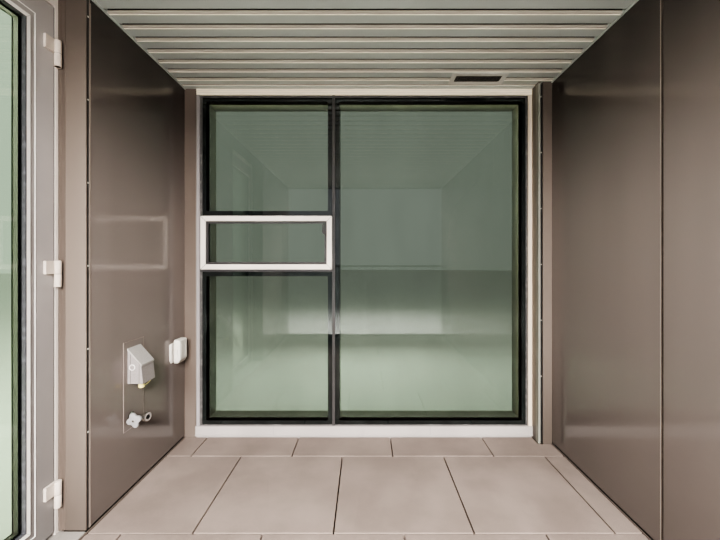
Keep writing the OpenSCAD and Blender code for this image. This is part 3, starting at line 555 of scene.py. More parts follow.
# One for each slot, for the fine pieces, and for the CAD nodes that differ from their slot
FINISHES = {
    "concrete": concrete(),
    # Painted shade: the outer panels darken towards the open front.
    "outer_panel": coated_metal((0.07, 0.054, 0.045), (0.3, 0.38), 0.1, 0.4, front=(0.6, 0.12)),
    "paver": paving(),
    "wall_core": rubber((0.014, 0.013, 0.012), (0.6, 0.8)),
    # Painted light at mid height; painted shade under the soffit and towards the open front.
    "brown_panel": coated_metal((0.205, 0.172, 0.157), (0.12, 0.15), 0.08, 0.2, 0.34, 0.74, (0.6, 1), 0.3),
    # Painted light at mid height and painted shade under the soffit.
    "brown_trim": coated_metal((0.165, 0.133, 0.113), (0.28, 0.36), 0.04, 0.0, 0.1, 0.3, foot=0.4),
    # Painted shade: the soffit darkens towards the open front.
    "soffit": coated_metal((0.44, 0.462, 0.437), (0.28, 0.34), 0.05, front=(0.6, 0.9)),
    "trim": plain_coat((0.62, 0.6, 0.56)),
    "reveal": plain_coat((0.25, 0.245, 0.21)),
    "window_frame": plain_coat((0.74, 0.67, 0.6)),
    "window_bar": plain_coat((0.06, 0.056, 0.056), (0.3, 0.42)),
    # Frame and leaf share one paint: the leaf's darker copy is painted shade, and low is painted shade
    # towards the floor.
    "door_frame": plain_coat((0.8, 0.72, 0.66), low=0.2),
    "door_leaf": plain_coat((0.46, 0.425, 0.412), low=0.52),
    "door_threshold": plain_coat((0.36, 0.33, 0.3), low=0.2),
    "bead": plain_coat((0.96, 0.93, 0.89), (0.3, 0.4), 0.03),
    "hinge": plain_coat((0.6, 0.52, 0.455), (0.28, 0.4)),
    "handle": bare_metal((0.6, 0.59, 0.57), (0.28, 0.38), (1, 1, 0.05), 240.0),
    "guard_metal": plain_coat((0.065, 0.058, 0.054), (0.34, 0.46)),
    "galvanised": galvanised((0.335, 0.302, 0.292)),
    "pale_galvanised": galvanised((0.455, 0.428, 0.405)),
    "tap": bare_metal((0.78, 0.78, 0.76), (0.1, 0.26)),
    "white_plastic": moulded((0.66, 0.62, 0.57)),
    "vent": plain_coat((0.55, 0.53, 0.49)),
    "fold_line": plain_coat((0.28, 0.22, 0.188)),
    # Painted highlight: the pale lips in the soffit's grooves.
    "painted_groove_highlight": plain_coat((0.97, 0.9, 0.76)),
    "mid_gasket": rubber((0.085, 0.08, 0.078), (0.35, 0.5)),
    "joint_seal": rubber((0.058, 0.044, 0.036), (0.5, 0.7)),
    # Painted shade where it lines the pilaster folds; it also fills the dark joint at the soffit angle.
    "taupe_fold": plain_coat((0.115, 0.09, 0.076)),
    # Painted highlight: the light edges of the folded panels.
    "panel_edge_highlight": plain_coat((0.25, 0.205, 0.178)),
    # Painted light: the tone of the grooves' rolled sides.
    "painted_light_groove_side": plain_coat((0.43, 0.385, 0.33)),
    "angle_trim": plain_coat((0.97, 0.85, 0.68)),
    "grey_gasket": rubber((0.072, 0.071, 0.078), (0.3, 0.5)),
    "glass": tinted_glass((0.168, 0.197, 0.155), 0.008),
    "guard_glass": tinted_glass((0.9, 0.95, 0.91), 0.02),
    "door_glass": tinted_glass((0.52, 0.66, 0.46), 0.008),
    # One frame paint in lit and shaded copies: the jambs and sill carry painted shade, the right jambs and
    # the head painted light, and the outer faces painted shade.
    "window_jambs": plain_coat((0.285, 0.262, 0.262), right=(0.66, 0.55, 0.43), outside=PAINTED_OUTSIDE_SHADE),
    "window_sill": plain_coat((0.37, 0.335, 0.318), outside=PAINTED_OUTSIDE_SHADE),
    "window_head": plain_coat((0.96, 0.86, 0.68), (0.3, 0.4), 0.03, outside=PAINTED_OUTSIDE_SHADE),
    "left_jamb_strip": coated_metal((0.142, 0.112, 0.095), (0.28, 0.36), 0.04, 0.3),
    "rubber": rubber(),
    "enamel": enamel(),
    "dark_line": rubber((0.035, 0.03, 0.027)),
    "yellow": moulded((0.7, 0.6, 0.25)),
    "wheel_grey": moulded((0.27, 0.26, 0.258)),
    "silver": bare_metal((0.66, 0.65, 0.62), (0.2, 0.36)),
}
for key, material in FINISHES.items():
    material.name = key
for node in ("left_outer_cladding", "right_outer_cladding", "roof_cap"):
    FINISHES[node] = FINISHES["outer_panel"]
FINISHES["soffit_trims"] = FINISHES["soffit"]

# Widths of the soft edges, in mm, and the CAD nodes that have them
SOFT_EDGES = (
    (0.5, "vent_grille"),
    (0.6, "gas_box"),
    (0.8, "awning_sash access_plate door_handle"),
    (1.0, "window_sill window_head window_jambs door_rails hinge_leaves hinge_seats"),
    (1.0, "wall_base_bars soffit_trims"),
    (1.5, "left_inner_cladding right_inner_cladding left_outer_cladding right_outer_cladding"),
    (1.5, "right_jamb_post door_stiles door_beads door_frame_jambs door_frame_head guard_rail guard_shoe"),
    (2.0, "door_pilasters left_jamb_strip"),
    (2.5, "roof_cap"),
    (3.0, "floor_pavers"),
    (6.0, "floor_slab roof_slab"),
)


def dress_nodes():
    """Gives each CAD node its own finish or its slot's."""
    slots = {part["node"]: part["material_slot"] for part in frame["record"]["subparts"]}
    for name, obj in NODES.items():
        obj.data.materials.clear()
        obj.data.materials.append(FINISHES.get(name) or FINISHES[slots[name]])


def round_edges():
    """Softens the edges of the CAD nodes that catch light."""
    for width, names in SOFT_EDGES:
        for name in names.split():
            soften(NODES[name], width)


# Window wall

JAMB_X = span("window_jambs", 0)
OPEN_X = moved(JAMB_X, FRAME_FACE, -FRAME_FACE)
OPEN_Z = span("window_jambs", 2)
PANE_X, PANE_Y, PANE_Z = spans("window_panes")
SASH_X, SASH_Y, SASH_Z = spans("awning_sash")
LEFT_END, RIGHT_START = off(middle(span("window_mullion", 0)), -MULLION_HALF, MULLION_HALF)
LOW_BAR = off(SASH_Z[0], -LOW_STRIP - 1, -1)
HIGH_BAR = off(SASH_Z[1], 0, HIGH_STRIP)
JOINT_X = JAMB_X[1] + POST_LEG * MM
SILL_SEAMS = (-0.62, 0.44)


def window_gaskets():
    """Dark grey rubber in the gap between the frame's face and the panes."""
    s = Piece("window_gaskets", "window_bar", "mid_gasket", bevel=1.5)
    y = moved((WIN_Y, PANE_Y[1]), 7, -0.5)
    for z in ((OPEN_Z[0], LOW_BAR[0]), (HIGH_BAR[1], OPEN_Z[1])):
        s.box(moved((OPEN_X[0], PANE_X[0]), 0, -0.3), y, z)
    s.box(off(OPEN_X[0], 0, SASH_SIDE_GAP - 1), y, (LOW_BAR[1], HIGH_BAR[0]))
    s.box(moved((PANE_X[1], OPEN_X[1]), 0.3, 0), y, OPEN_Z)
    for x in ((PANE_X[0], LEFT_END), (RIGHT_START, PANE_X[1])):
        s.box(x, y, moved((OPEN_Z[0], PANE_Z[0]), 0, -0.3))
        s.box(x, y, moved((PANE_Z[1], OPEN_Z[1]), 0.3, 0))


def pane_margins():
    """The black band round each pane, with rounded inner corners."""
    s = Piece("pane_margins", "window_bar", "enamel")
    left = moved((PANE_X[0], LEFT_END), 0, -1)
    right = moved((RIGHT_START, PANE_X[1]), 1, 0)
    edge, bar = GLASS_MARGIN, BODY_REVEAL
    lights = [
        (left, moved((PANE_Z[0], LOW_BAR[0]), 0, -1), (edge, bar, edge, bar)),
        (left, moved((HIGH_BAR[1], PANE_Z[1]), 1, 0), (edge, bar, bar, edge)),
        (right, PANE_Z, (bar, edge, edge, edge)),
    ]
    for x, z, (x_low, x_high, z_low, z_high) in lights:
        clear = (moved(x, x_low, -x_high), moved(z, z_low, -z_high))
        s.ring(along_y, (x, z), clear, off(PANE_Y[0], -0.4, -0.05), 9)


def sash_details():
    """The sash's dark inner bead, its mitre lines and its latch."""
    s = Piece("sash_dark_bead", "window_bar", bevel=0.6)
    bead = WIN_Y + SASH_BEAD_SET * MM
    edge = inset((SASH_X, SASH_Z), SASH_FACE)
    for cover, front in ((SASH_BEAD + 0.8, 0.8), (0.45 * SASH_BEAD, 3.5)):
        s.ring(along_y, edge, inset(edge, cover), off(bead, -front, 6), 3)

    s = Piece("sash_mitre_lines", "window_bar", "dark_line")
    s.mitres((SASH_X, SASH_Z), SASH_FACE - 0.5, 0.7, along_y, off(SASH_Y[0], -0.15, 0.5))

    s = Piece("sash_latch", "window_bar", bevel=1.6)
    x = edge[0][1] - (SASH_BEAD + 0.8) * MM
    s.box(off(x, -9, 8), off(WIN_Y, -12, 1), off(SASH_Z[1], -122, -82))
    s.box(off(x, -13, -3), off(WIN_Y, -16, -6), off(SASH_Z[1], -115, -57))


def frame_details():
    """Ridges on the frame's head, its lip, its joint lines and the seams of the sill."""
    s = Piece("head_ridges", "window_frame", bevel=0.5)
    for up, out in ((14, 1.6), (30, 2.4)):
        outline = points(WIN_Y, OPEN_Z[1] + up * MM, (1, 0), (-out, 0.6), (-out, 2.6), (1, 3.4))
        s.prism(outline, along_x, *moved(JAMB_X, 1, -1))

    s = Piece("left_jamb_lip", "brown_trim", bevel=0.5)
    s.box(off(JAMB_X[0], -3, 4.5), off(WIN_Y, -1.2, 0.3), moved((FLOOR_Z, OPEN_Z[1]), 30, 40))

    s = Piece("frame_joint_lines", "window_frame", "dark_line")
    for x in ((JAMB_X[0], OPEN_X[0]), (OPEN_X[1], JAMB_X[1])):
        for z in reversed(OPEN_Z):
            s.box(x, off(WIN_Y, -0.25, 0.5), off(z, -0.5, 0.5))
    for x in SILL_SEAMS:
        s.box(off(x, 0, 0.9), off(WIN_Y, -6.2, -5), moved((FLOOR_Z, OPEN_Z[0]), 21, -2))


def soffit_angle():
    """The beige angle between the soffit and the window's head, with the dark joint before it."""
    x = moved(BETWEEN_WALLS, 0.5, -0.5)
    s = Piece("soffit_angle_trim", "trim", "angle_trim", bevel=0.4)
    s.box(x, off(WIN_Y, -45, -0.5), off(SOFFIT_Z, -1.2, 0.5))
    s = Piece("soffit_angle_joint", "window_bar", "taupe_fold", bevel=0.2)
    s.box(x, off(WIN_Y, -51, -45.2), off(SOFFIT_Z, -0.3, 0.6))


def right_reveal():
    """The light angle on the post's leg, and the black seal in the post's joint."""
    z = moved((FLOOR_Z, SOFFIT_Z), 2, -12)
    leg = POST_LEG - 2
    sheet, deep = 1.2, 36
    s = Piece("reveal_angle", "trim", "reveal", bevel=0.5)
    outline = points(JAMB_X[1], POST_Y, (-sheet, -sheet), (leg, -sheet), (leg, 0), (0, 0), (0, deep),
                     (-sheet, deep))
    s.prism(outline, along_z, *z)
    s = Piece("post_joint_seal", "window_bar", "rubber", bevel=0.8)
    s.box(off(JOINT_X, 0, POST_JOINT), off(POST_Y, 14, POST_JOINT_DEPTH), z)
    s.box(off(JOINT_X, -1.2, 1), off(POST_Y, 1, 16), z)


def down(start, stop, pitch):
    """Positions from a start downwards, at one pitch in mm."""
    while start > stop:
        yield start
        start -= pitch * MM


def joint_clips():
    """Small bright clips that hold the panels, at one pitch down the two black joints."""
    s = Piece("joint_clips", "trim", "vent", bevel=0.5)
    x = JOINT_X + POST_JOINT / 2 * MM
    y = WIN_Y + (PANEL_T + PILASTER_GAP / 2 - PILASTER_AT) * MM
    for z in down(SOFFIT_Z - 94 * MM, FLOOR_Z + 100 * MM, CLIP_PITCH):
        s.box(off(x, -4, 5), off(POST_Y, 6, 18), off(z, -3, 3))
        s.turn((x, POST_Y + 6 * MM, z), (0, -1, 0), [(0, 3), (1.5, 3), (2.2, 1.6)], 12)
        s.box(off(-WALL_X, -4, 0.6), off(y, -3.4, 3.4), off(z, -3.4, 3.4))


# Cladding and soffit

def linked(start, seen):
    """The corners that hang together with one corner; they are marked as seen."""
    seen.add(start.index)
    stack, group = [start], []
    while stack:
        vert = stack.pop()
        group.append(vert.co.copy())
        for other in (edge.other_vert(vert) for edge in vert.link_edges):
            if other.index not in seen:
                seen.add(other.index)
                stack.append(other)
    return group


def solids(node):
    """The lowest and highest corners of each separate solid of a CAD node."""
    bm = bmesh.new()
    bm.from_mesh(NODES[node].data)
    bmesh.ops.remove_doubles(bm, verts=bm.verts, dist=0.01 * MM)
    seen = set()
    groups = [linked(vert, seen) for vert in bm.verts if vert.index not in seen]
    boxes = [tuple([pick(corner[i] for corner in group) for i in range(3)] for pick in (min, max))
             for group in groups]
    bm.free()
    return sorted(boxes, key=lambda box: (round(box[0][1], 4), box[0][0], box[0][2]))


def tall_panels(node):
    return [box for box in solids(node) if box[1][2] - box[0][2] > TALL_PANEL * MM]


def open_joints(node):
    """The Y and Z ranges of the open joints between a cladding's tall panels."""
    tall = tall_panels(node)
    return [((high[1], after[1]), (low[2], high[2])) for (low, high), (after, _) in zip(tall, tall[1:])
            if 0 < after[1] - high[1] < WIDEST_JOINT * MM]


def panel_edges():
    """A fine light edge on each inner panel and on a pilaster, a painted highlight, and the seals down the
    open joints.
    """
    # The light edges are painted highlights of the folded panel edges.
    light = Piece("panel_light_edges", "brown_trim", "panel_edge_highlight", bevel=0.3)
    black = Piece("panel_joint_seals", "wall_core", "rubber", bevel=0.3)
    brown = Piece("right_joint_seals", "wall_core", "joint_seal", bevel=0.3)
    seal_depth = (1.2, PANEL_T - 0.5)
    for node, side, seal in (("left_inner_cladding", -1, black), ("right_inner_cladding", 1, brown)):
        face = side * WALL_X
        for low, high in tall_panels(node):
            light.box(off(face, -0.6, 0.8, side), off(low[1], -0.2, 3.2), (low[2], high[2]))
        for y, z in open_joints(node):
            seal.box(off(face, *seal_depth, side), *inset((y,), 0.1), z)
    pilaster_y = WIN_Y - PILASTER_AT * MM
    first = min(low[1] for low, high in solids("left_inner_cladding") if low[1] > pilaster_y)
    y = off(first, 0.1 - PILASTER_GAP, -0.1)
    black.box(off(-WALL_X, *seal_depth, -1), y, span("left_inner_cladding", 2))
    low, high = solids("door_pilasters")[-1]
    light.box(off(high[0], -1, 0.7), off(high[1], -4.6, 0.2), (low[2], high[2]))


def soffit_lips():
    """In each groove of the soffit: a black strip of painted shade in the gap, the plank's rolled side with
    its tone of painted light, and a pale lip beyond it as a painted highlight.
    """
    # The pale lips are painted highlights, the rolled sides' tone painted light and the black gap strips
    # painted shade.
    pale = Piece("soffit_groove_lips", "soffit", "painted_groove_highlight")
    rolled = Piece("soffit_groove_sides", "soffit", "painted_light_groove_side")
    dark = Piece("soffit_shadow_gaps", "soffit", "rubber")
    (vent_x0, vent_x1), (vent_y0, vent_y1) = VENT_OPENING
    top = SOFFIT_Z + GROOVE_DEPTH * MM
    end = WALL_X - 8 * MM
    stop = span("soffit_panels", 1)[0] + 2 * GROOVE_W * MM
    for mid in down(WIN_Y - FIRST_GROOVE * MM, stop, PLANK_MODULE):
        runs = [(-end, end)]
        if vent_y0 - 50 * MM < mid < vent_y1 + 50 * MM:
            runs = [(-end, vent_x0 - 6 * MM), (vent_x1 + 6 * MM, end)]
        far = mid + GROOVE_W / 2 * MM
        near = mid + (6.6 - GROOVE_W / 2) * MM
        side = points(far, top, (0.3, -6.5), (-1.2, -6.5))
        side += points(far, SOFFIT_Z, (-1.2, -0.4), (10.5, -0.4), (10.5, 0.4), (0.3, 0.4))
        lip = points(far, SOFFIT_Z, (10.2, 0.4), (10.2, -2.8), (14.4, -2.8), (15.2, 0.4))
        gap = points(near, top, (0, 0.2), (0, -0.8))
        gap += points(far, top, (-1.2, -0.8), (-1.2, -6.4), (0.2, -6.4), (0.2, 0.2))
        for run in runs:
            rolled.prism(side, along_x, *run)
            pale.prism(lip, along_x, *run)
            dark.prism(gap, along_x, *run)


def pilaster_folds():
    """The stepped fold where each pilaster meets the door frame, its darker tone painted shade beside the
    frame.
    """
    # Painted shade: the fold's darker tone stands for the shade beside the door frame.
    s = Piece("pilaster_folds", "brown_trim", "taupe_fold", bevel=0.5)
    face = span("door_frame_jambs", 0)[1]
    pilasters = solids("door_pilasters")
    ends = ((-1, max(low[1] for low, high in pilasters)), (1, min(high[1] for low, high in pilasters)))
    for side, y in ends:
        fold, step = 3.0 * side, 1.6 * side
        outline = points(face, y, (0.5, 0), (0.5, fold), (12, fold), (13.5, step), (29, step), (31, 0))
        s.prism(outline, along_z, *moved((FLOOR_Z, span("door_pilasters", 2)[1]), 12, -1))


def soffit_vent():
    """Dark insect mesh, and a black box behind the grille's blades that is painted shade in the duct."""
    x, y = VENT_OPENING
    pitch = 5.2 * MM
    s = Piece("vent_insect_mesh", "vent", "dark_line")
    for i in range(1, int((x[1] - x[0]) / pitch)):
        s.box(off(x[0] + i * pitch, -0.9, 0.9), y, off(SOFFIT_Z, -2.6, -1.4))
    for i in range(1, int((y[1] - y[0]) / pitch)):
        s.box(x, off(y[0] + i * pitch, -0.9, 0.9), off(SOFFIT_Z, -1.4, -0.2))
    # Painted shade: a black box in the duct above the grille.
    s = Piece("vent_painted_shade_box", "vent", "rubber", bevel=1)
    s.box(*inset(VENT_OPENING, 0.5), off(SOFFIT_Z, 24, 46))


# Door

GLASS_X, *LIGHT = spans("door_glass")
BEAD_X = span("door_beads", 0)
LEVER_Z = FLOOR_Z + 1010 * MM
HANDLE_Y = LEAF_Y[0] + 56 * MM
PLATE_T = 8 * MM
KEY_DOWN = 92 * MM


def door_gaskets():
    """A grey liner round the side of the glazed opening, with black lips at both ends."""
    grey = Piece("door_gaskets", "window_bar", "grey_gasket", DOOR, bevel=0.3)
    black = Piece("door_gasket_lips", "window_bar", "rubber", DOOR, bevel=0.3)
    glass, bead = GLASS_X[1], BEAD_X[1]
    liner = (glass + 0.05 * MM, bead - 1.2 * MM)
    grey.ring(along_x, inset(LIGHT, 0.1), inset(LIGHT, 1.2), liner, 3)
    black.ring(along_x, inset(LIGHT, 0.2), inset(LIGHT, 2.2), off(glass, 0.05, 2), 3)
    grey.ring(along_x, inset(LIGHT, -3.4), inset(LIGHT, 1.6), off(bead, -1.3, 0.3), 2)
    black.ring(along_x, inset(LIGHT, 0.05), inset(LIGHT, 2.2), off(BEAD_X[0], 0.8, 3.6), 2)


def door_lines():
    """The fine raised line round the leaf's glazing, and the mitre lines of its beads."""
    s = Piece("door_raised_lines", "bead", body=DOOR, bevel=0.6)
    for face, out in ((LEAF_X[1], 1), (LEAF_X[0], -1)):
        s.ring(along_x, inset(LIGHT, -46), inset(LIGHT, -42.4), off(face, -0.5, 1.6, out), 2)
    s = Piece("door_bead_mitres", "bead", "trim", DOOR)
    s.mitres(LIGHT, 1 - DOOR_BEAD_W, -0.5, along_x, off(BEAD_X[1], -0.5, 0.15))


def door_seals():
    """Black seals on the frame behind the leaf's edge, and grip ribs on the threshold."""
    s = Piece("door_frame_seal", "window_bar", "rubber", bevel=0.8)
    seal = (moved(LEAF_Y, -7, 3.5), moved(LEAF_Z, 12, 4))
    s.ring(along_x, seal, inset(seal, 13), off(LEAF_X[0], -5.2, -2.4), 3)
    z = moved(LEAF_Z, 2, 0)
    s.box(off(LEAF_X[1], -14, -5), off(LEAF_Y[1], 2, 5.5), z)
    s.box(off(LEAF_X[1], -6, -1.5), off(LEAF_Y[1], 0.6, 4.4), z)

    s = Piece("threshold_ribs", "trim", "door_threshold")
    x = LEAF_X[1] + 14 * MM
    while x < -WALL_X - 12 * MM:
        outline = points(x, THRESHOLD_Z, (-2.2, -0.5), (2.2, -0.5), (1.2, 1.4), (-1.2, 1.4))
        s.prism(outline, along_y, *moved(LEAF_Y, -6, 2))
        x += 11 * MM


def lock_plates():
    """The lock's faceplate in the leaf's edge with its latch, and the strike plate in the frame."""
    low, high = span("door_handle", 2)
    z = low + (high - low) * 0.55
    x = middle(LEAF_X)
    edge = LEAF_Y[0]
    s = Piece("lock_faceplate", "handle", "silver", DOOR, bevel=0.4)
    s.box(off(x, -10, 10), off(edge, -0.6, 2), off(z, -130, 130))
    latch = points(x, edge, (-6, 0), (6, 0), (6, -3.6), (2, -3.6), (-6, -1.2))
    s.prism(latch, along_z, *off(z, -12, 22))
    for up in off(z, -115, 115):
        s.screw((x, edge - 0.6 * MM, up), (0, -1, 0), 3.5)
    s = Piece("strike_plate", "handle", "silver", bevel=0.3)
    jamb = edge - 9 * MM
    strike, hole = (off(x, -11, 11), off(z, -85, 85)), (off(x, -7, 7), off(z, -16, 28))
    s.ring(along_y, strike, hole, off(jamb, -0.5, 0.6), 2)
    for up in off(z, -65, 65):
        s.screw((x, jamb + 0.6 * MM, up), (0, 1, 0), 3.2)


def handle_details():
    """Roses and screws on both handle plates, and the slots of the key cylinders."""
    s = Piece("handle_roses_and_screws", "handle", body=DOOR, bevel=0.3)
    dark = Piece("handle_key_slots", "handle", "dark_line", DOOR, bevel=0.2)
    for face, out in ((LEAF_X[1] + PLATE_T, 1), (LEAF_X[0] - PLATE_T, -1)):
        axis = (out, 0, 0)
        for up in (73, -128):
            s.turn((face, HANDLE_Y, LEVER_Z + up * MM), axis, [(0, 4.2), (0.8, 4.2), (1.8, 3.0)], 20)
        s.turn((face, HANDLE_Y, LEVER_Z), axis, [(0, 15.5), (3, 15.5), (4.5, 14)], 32)
        key = face + out * 5.4 * MM
        dark.box(off(key, -2, 0.25, out), off(HANDLE_Y, -0.9, 0.9), off(LEVER_Z - KEY_DOWN, -4, 4))


def hinge_details():
    """The open lower ends of the hinge seats, seam rings and top caps."""
    s = Piece("hinge_open_ends", "hinge", "rubber")
    caps = Piece("hinge_top_caps", "hinge", body=DOOR, bevel=0.3)
    up = (0, 0, 1)
    for low, high in solids("hinge_seats"):
        s.turn((*HINGE_AXIS, low[2] - 0.3 * MM), up, [(0, 9.5), (0, 7), (0.6, 7), (0.6, 9.5)])
    for low, high in solids("hinge_leaves"):
        caps.turn((*HINGE_AXIS, high[2] - 0.2 * MM), up, [(0, 10), (1, 10), (1.8, 8.5), (2, 4)])
        s.hoop((*HINGE_AXIS, low[2]), up, [(-1, 13.7), (0.1, 13.7), (0.1, 12), (-1, 12)])


# Guard, roof and outside

def guard_details():
    """Gaskets in the shoe and rail, and end brackets with screws."""
    glass = span("guard_glass", 1)
    mid = middle(glass)
    half = (glass[1] - glass[0]) / 2 / MM
    shoe_top = span("guard_shoe", 2)[1]
    rail_low = span("guard_rail", 2)[0]
    s = Piece("guard_gaskets", "window_bar", "rubber", bevel=0.9)
    for side in (-1, 1):
        x = moved(BETWEEN_WALLS, 2, -2)
        y = off(mid, half + 0.05, half + 3.5, side)
        s.box(x, y, off(shoe_top, -1, 4))
        s.box(x, y, off(rail_low, -4, 1))
    s = Piece("guard_brackets", "guard_metal", bevel=0.8)
    for side in (-1, 1):
        wall = side * WALL_X
        s.box(off(wall, 0, 4, -side), off(mid, -24, 24), off(rail_low, -70, -0.5))
        for y in (off(mid, -24, -half - 4), off(mid, half + 4, 24)):
            s.box(off(wall, 4, 46, -side), y, off(rail_low, -4.5, -0.5))
        for y in off(mid, -14, 14):
            for below in (20, 52):
                s.screw((wall - side * 4 * MM, y, rail_low - below * MM), (-side, 0, 0), 4.5)


def roof_details():
    """Raised seams across the roof cap and the lap plates on its edges."""
    x, y, z = spans("roof_cap")
    count = 6
    seams = [y[0] + (y[1] - y[0]) * i / count for i in range(1, count)]
    s = Piece("roof_cap_seams", "brown_panel", "outer_panel", bevel=1.5)
    for mid in seams:
        outline = points(mid, z[1], (-16, -0.5), (16, -0.5), (7, 3), (5, 9), (-5, 9), (-7, 3))
        s.prism(outline, along_x, *moved(x, 20, -20))
    s = Piece("roof_lap_plates", "brown_trim", "outer_panel", bevel=0.6)
    for mid in seams[::2]:
        for out, edge in ((-1, x[0]), (1, x[1])):
            s.box(off(edge, -1.5, 1.5), off(mid, -45, 45), moved(z, 3, -3))
            for y_screw in off(mid, -30, 30):
                for z_screw in moved(z, 30, -30):
                    s.screw((edge + out * 1.5 * MM, y_screw, z_screw), (out, 0, 0), 4.5)


def outer_clips():
    """Clips in the open joints of the outer cladding, on the same pitch as inside."""
    s = Piece("outer_joint_clips", "trim", "silver", bevel=0.5)
    for node, side in (("left_outer_cladding", -1), ("right_outer_cladding", 1)):
        for y, (low, high) in open_joints(node):
            for z in down(high - 110 * MM, low + 100 * MM, CLIP_PITCH):
                s.box(off(side * OUTER_X, -8, -2.5, side), *inset((y,), 1), off(z, -3, 3))


# Wall fittings

(_, PLATE_X), *PLATE = spans("access_plate")
BOX_X = PLATE_X
BOX_Y = span("gas_box", 1)
BOX_Z = span("gas_box", 2)[0] + 22 * MM
BOX_NEAR = BOX_Y[0] + 3 * MM
BOX_OUT = 80
BOX_LEAN = 10
BOX_BACK_H = 178
BOX_FRONT_H = 98
BOX_SHEET_GAP = 9
PIPE_AT = (56 * MM, 24 * MM)
CAP_R = 12.9
TAP_AT = (PLATE_X, span("hose_tap", 1)[1] - 24 * MM, middle(span("hose_tap", 2)))
CUP_AT = 74 * MM
CUP_TURN = math.radians(-12)
WHEEL_X = TAP_AT[0] + 48 * MM
WHEEL_Y = TAP_AT[1] - 50 * MM
WHEEL_TURN = 18
WHEEL_R = 25.2
WHEEL_LOBE = 12.6
SOCKET_X, SOCKET_Y, SOCKET_Z = spans("socket_cover")


def access_plate_edge():
    """The lighter edge round the access plate."""
    s = Piece("access_plate_edge", "brown_panel", "fold_line", bevel=0.3)
    s.ring(along_x, inset(PLATE, -0.2), inset(PLATE, 1.6), off(PLATE_X, -1.2, 0.3), 2)


def box_top(x, below):
    """Height of the gas box's slope at a distance from the wall, less a gap below it; all in mm."""
    return BOX_BACK_H + (BOX_FRONT_H - BOX_BACK_H) * x / (BOX_OUT - BOX_LEAN) - below


def box_front(up):
    """Distance from the wall to the gas box's leaning front at a height, in mm."""
    return BOX_OUT - BOX_LEAN * up / BOX_FRONT_H


def box_sheet(start, end, foot=1.5):
    """The outline of a sheet on the gas box's side, under the slope, between two distances in mm."""
    tops = (end, box_top(end, BOX_SHEET_GAP)), (start, box_top(start, BOX_SHEET_GAP))
    return points(BOX_X, BOX_Z, (start, foot), (end, foot), *tops)


def gas_box_sides():
    """Folded sheets on both sides of the gas box: a wall flange, a door and a front corner strip."""
    s = Piece("gas_box_sheets", "galvanised", bevel=0.5)
    dark = Piece("gas_box_gaps", "galvanised", "dark_line")
    near, far = BOX_NEAR, BOX_Y[1] - 3 * MM
    foot, corner = 1.5, 61
    high = BOX_FRONT_H - BOX_SHEET_GAP
    strip = points(BOX_X, BOX_Z, (corner, foot), (box_front(foot), foot), (box_front(high), high),
                   (corner, box_top(corner, BOX_SHEET_GAP)))
    for outline, proud in ((box_sheet(0, 13), 0.8), (box_sheet(16, 58), 1.8), (strip, 2.4)):
        s.prism(outline, along_y, *off(near, -proud, 0.5))
        s.prism(outline, along_y, *off(far, -0.5, proud))
    for start in (13.4, 58.6):
        dark.prism(box_sheet(start, start + 2), along_y, *off(near, -0.3, 0.4))


def gas_box_hood():
    """A thin hood over the box, with a turned-down edge and two rivets on its near side."""
    s = Piece("gas_box_hood", "galvanised", "pale_galvanised", bevel=0.2)
    near, far = BOX_Y
    end = BOX_OUT - BOX_LEAN + 3
    back, front = BOX_BACK_H + 3, BOX_FRONT_H
    top = points(BOX_X, BOX_Z, (0, back + 1), (end + 1, front + 1), (end + 1, front - 8), (end, front - 8),
                 (end, front), (0, back))
    s.prism(top, along_y, *moved(BOX_Y, -0.4, 0.4))
    lip = points(BOX_X, BOX_Z, (0, back), (end, front), (end, front - 8), (0, back - 10))
    for y in (off(near, -0.4, 0), off(far, 0, 0.4)):
        s.prism(lip, along_y, *y)
    s = Piece("gas_box_rivets", "galvanised", "silver")
    for at in (12, 56):
        foot = (BOX_X + at * MM, near - 0.4 * MM, BOX_Z + box_top(at, 2) * MM)
        s.turn(foot, (0, -1, 0), [(0, 2.2), (0.5, 2.2), (1.1, 1.2)], 12)


def gas_box_lock():
    """A raised ring with a recessed barrel and its slot."""
    at = (BOX_X + 25 * MM, BOX_NEAR - 3 * MM, BOX_Z + 85 * MM)
    out = (0, -1, 0)
    s = Piece("gas_box_lock_ring", "galvanised", "bead", bevel=0.2)
    s.hoop(at, out, [(-1.5, 14.6), (1.4, 14.6), (2, 13.8), (1.4, 12.6), (-1.5, 12.6)])
    s = Piece("gas_box_lock_barrel", "galvanised")
    s.turn(at, out, [(0.2, 5.4), (1, 5.4), (1.4, 4.8)])
    s = Piece("gas_box_lock_slot", "galvanised", "dark_line", bevel=0.2)
    s.box(off(at[0], -0.6, 0.6), off(at[1], -1.6, -0.8), off(at[2], -3, 3))


def gas_outlet_cap():
    """A yellow cap on the gas outlet, with grip ribs and the strap that keeps it."""
    s = Piece("gas_outlet_cap", "white_plastic", "yellow", bevel=0.3)
    x, y, z = BOX_X + PIPE_AT[0], BOX_NEAR + PIPE_AT[1], BOX_Z - 25.5 * MM
    s.turn((x, y, z), (0, 0, 1), [(0, 11.2), (1, CAP_R), (20, CAP_R), (21.5, 12.2)], 32)
    for angle in round_angles(16):
        rib_x, rib_y = on_arc((x, y), CAP_R * MM, angle)
        s.box(off(rib_x, -0.8, 0.8), off(rib_y, -0.8, 0.8), off(z, 3, 18))
    strap = [(x + (10 + 12 * t) * MM, y + (6 + 34 * t) * MM, z + (9 + 15 * t - 12 * t * (1 - t)) * MM)
             for t in (i / 12 for i in range(13))]
    s.tube(strap, 1.7 * MM, 8)


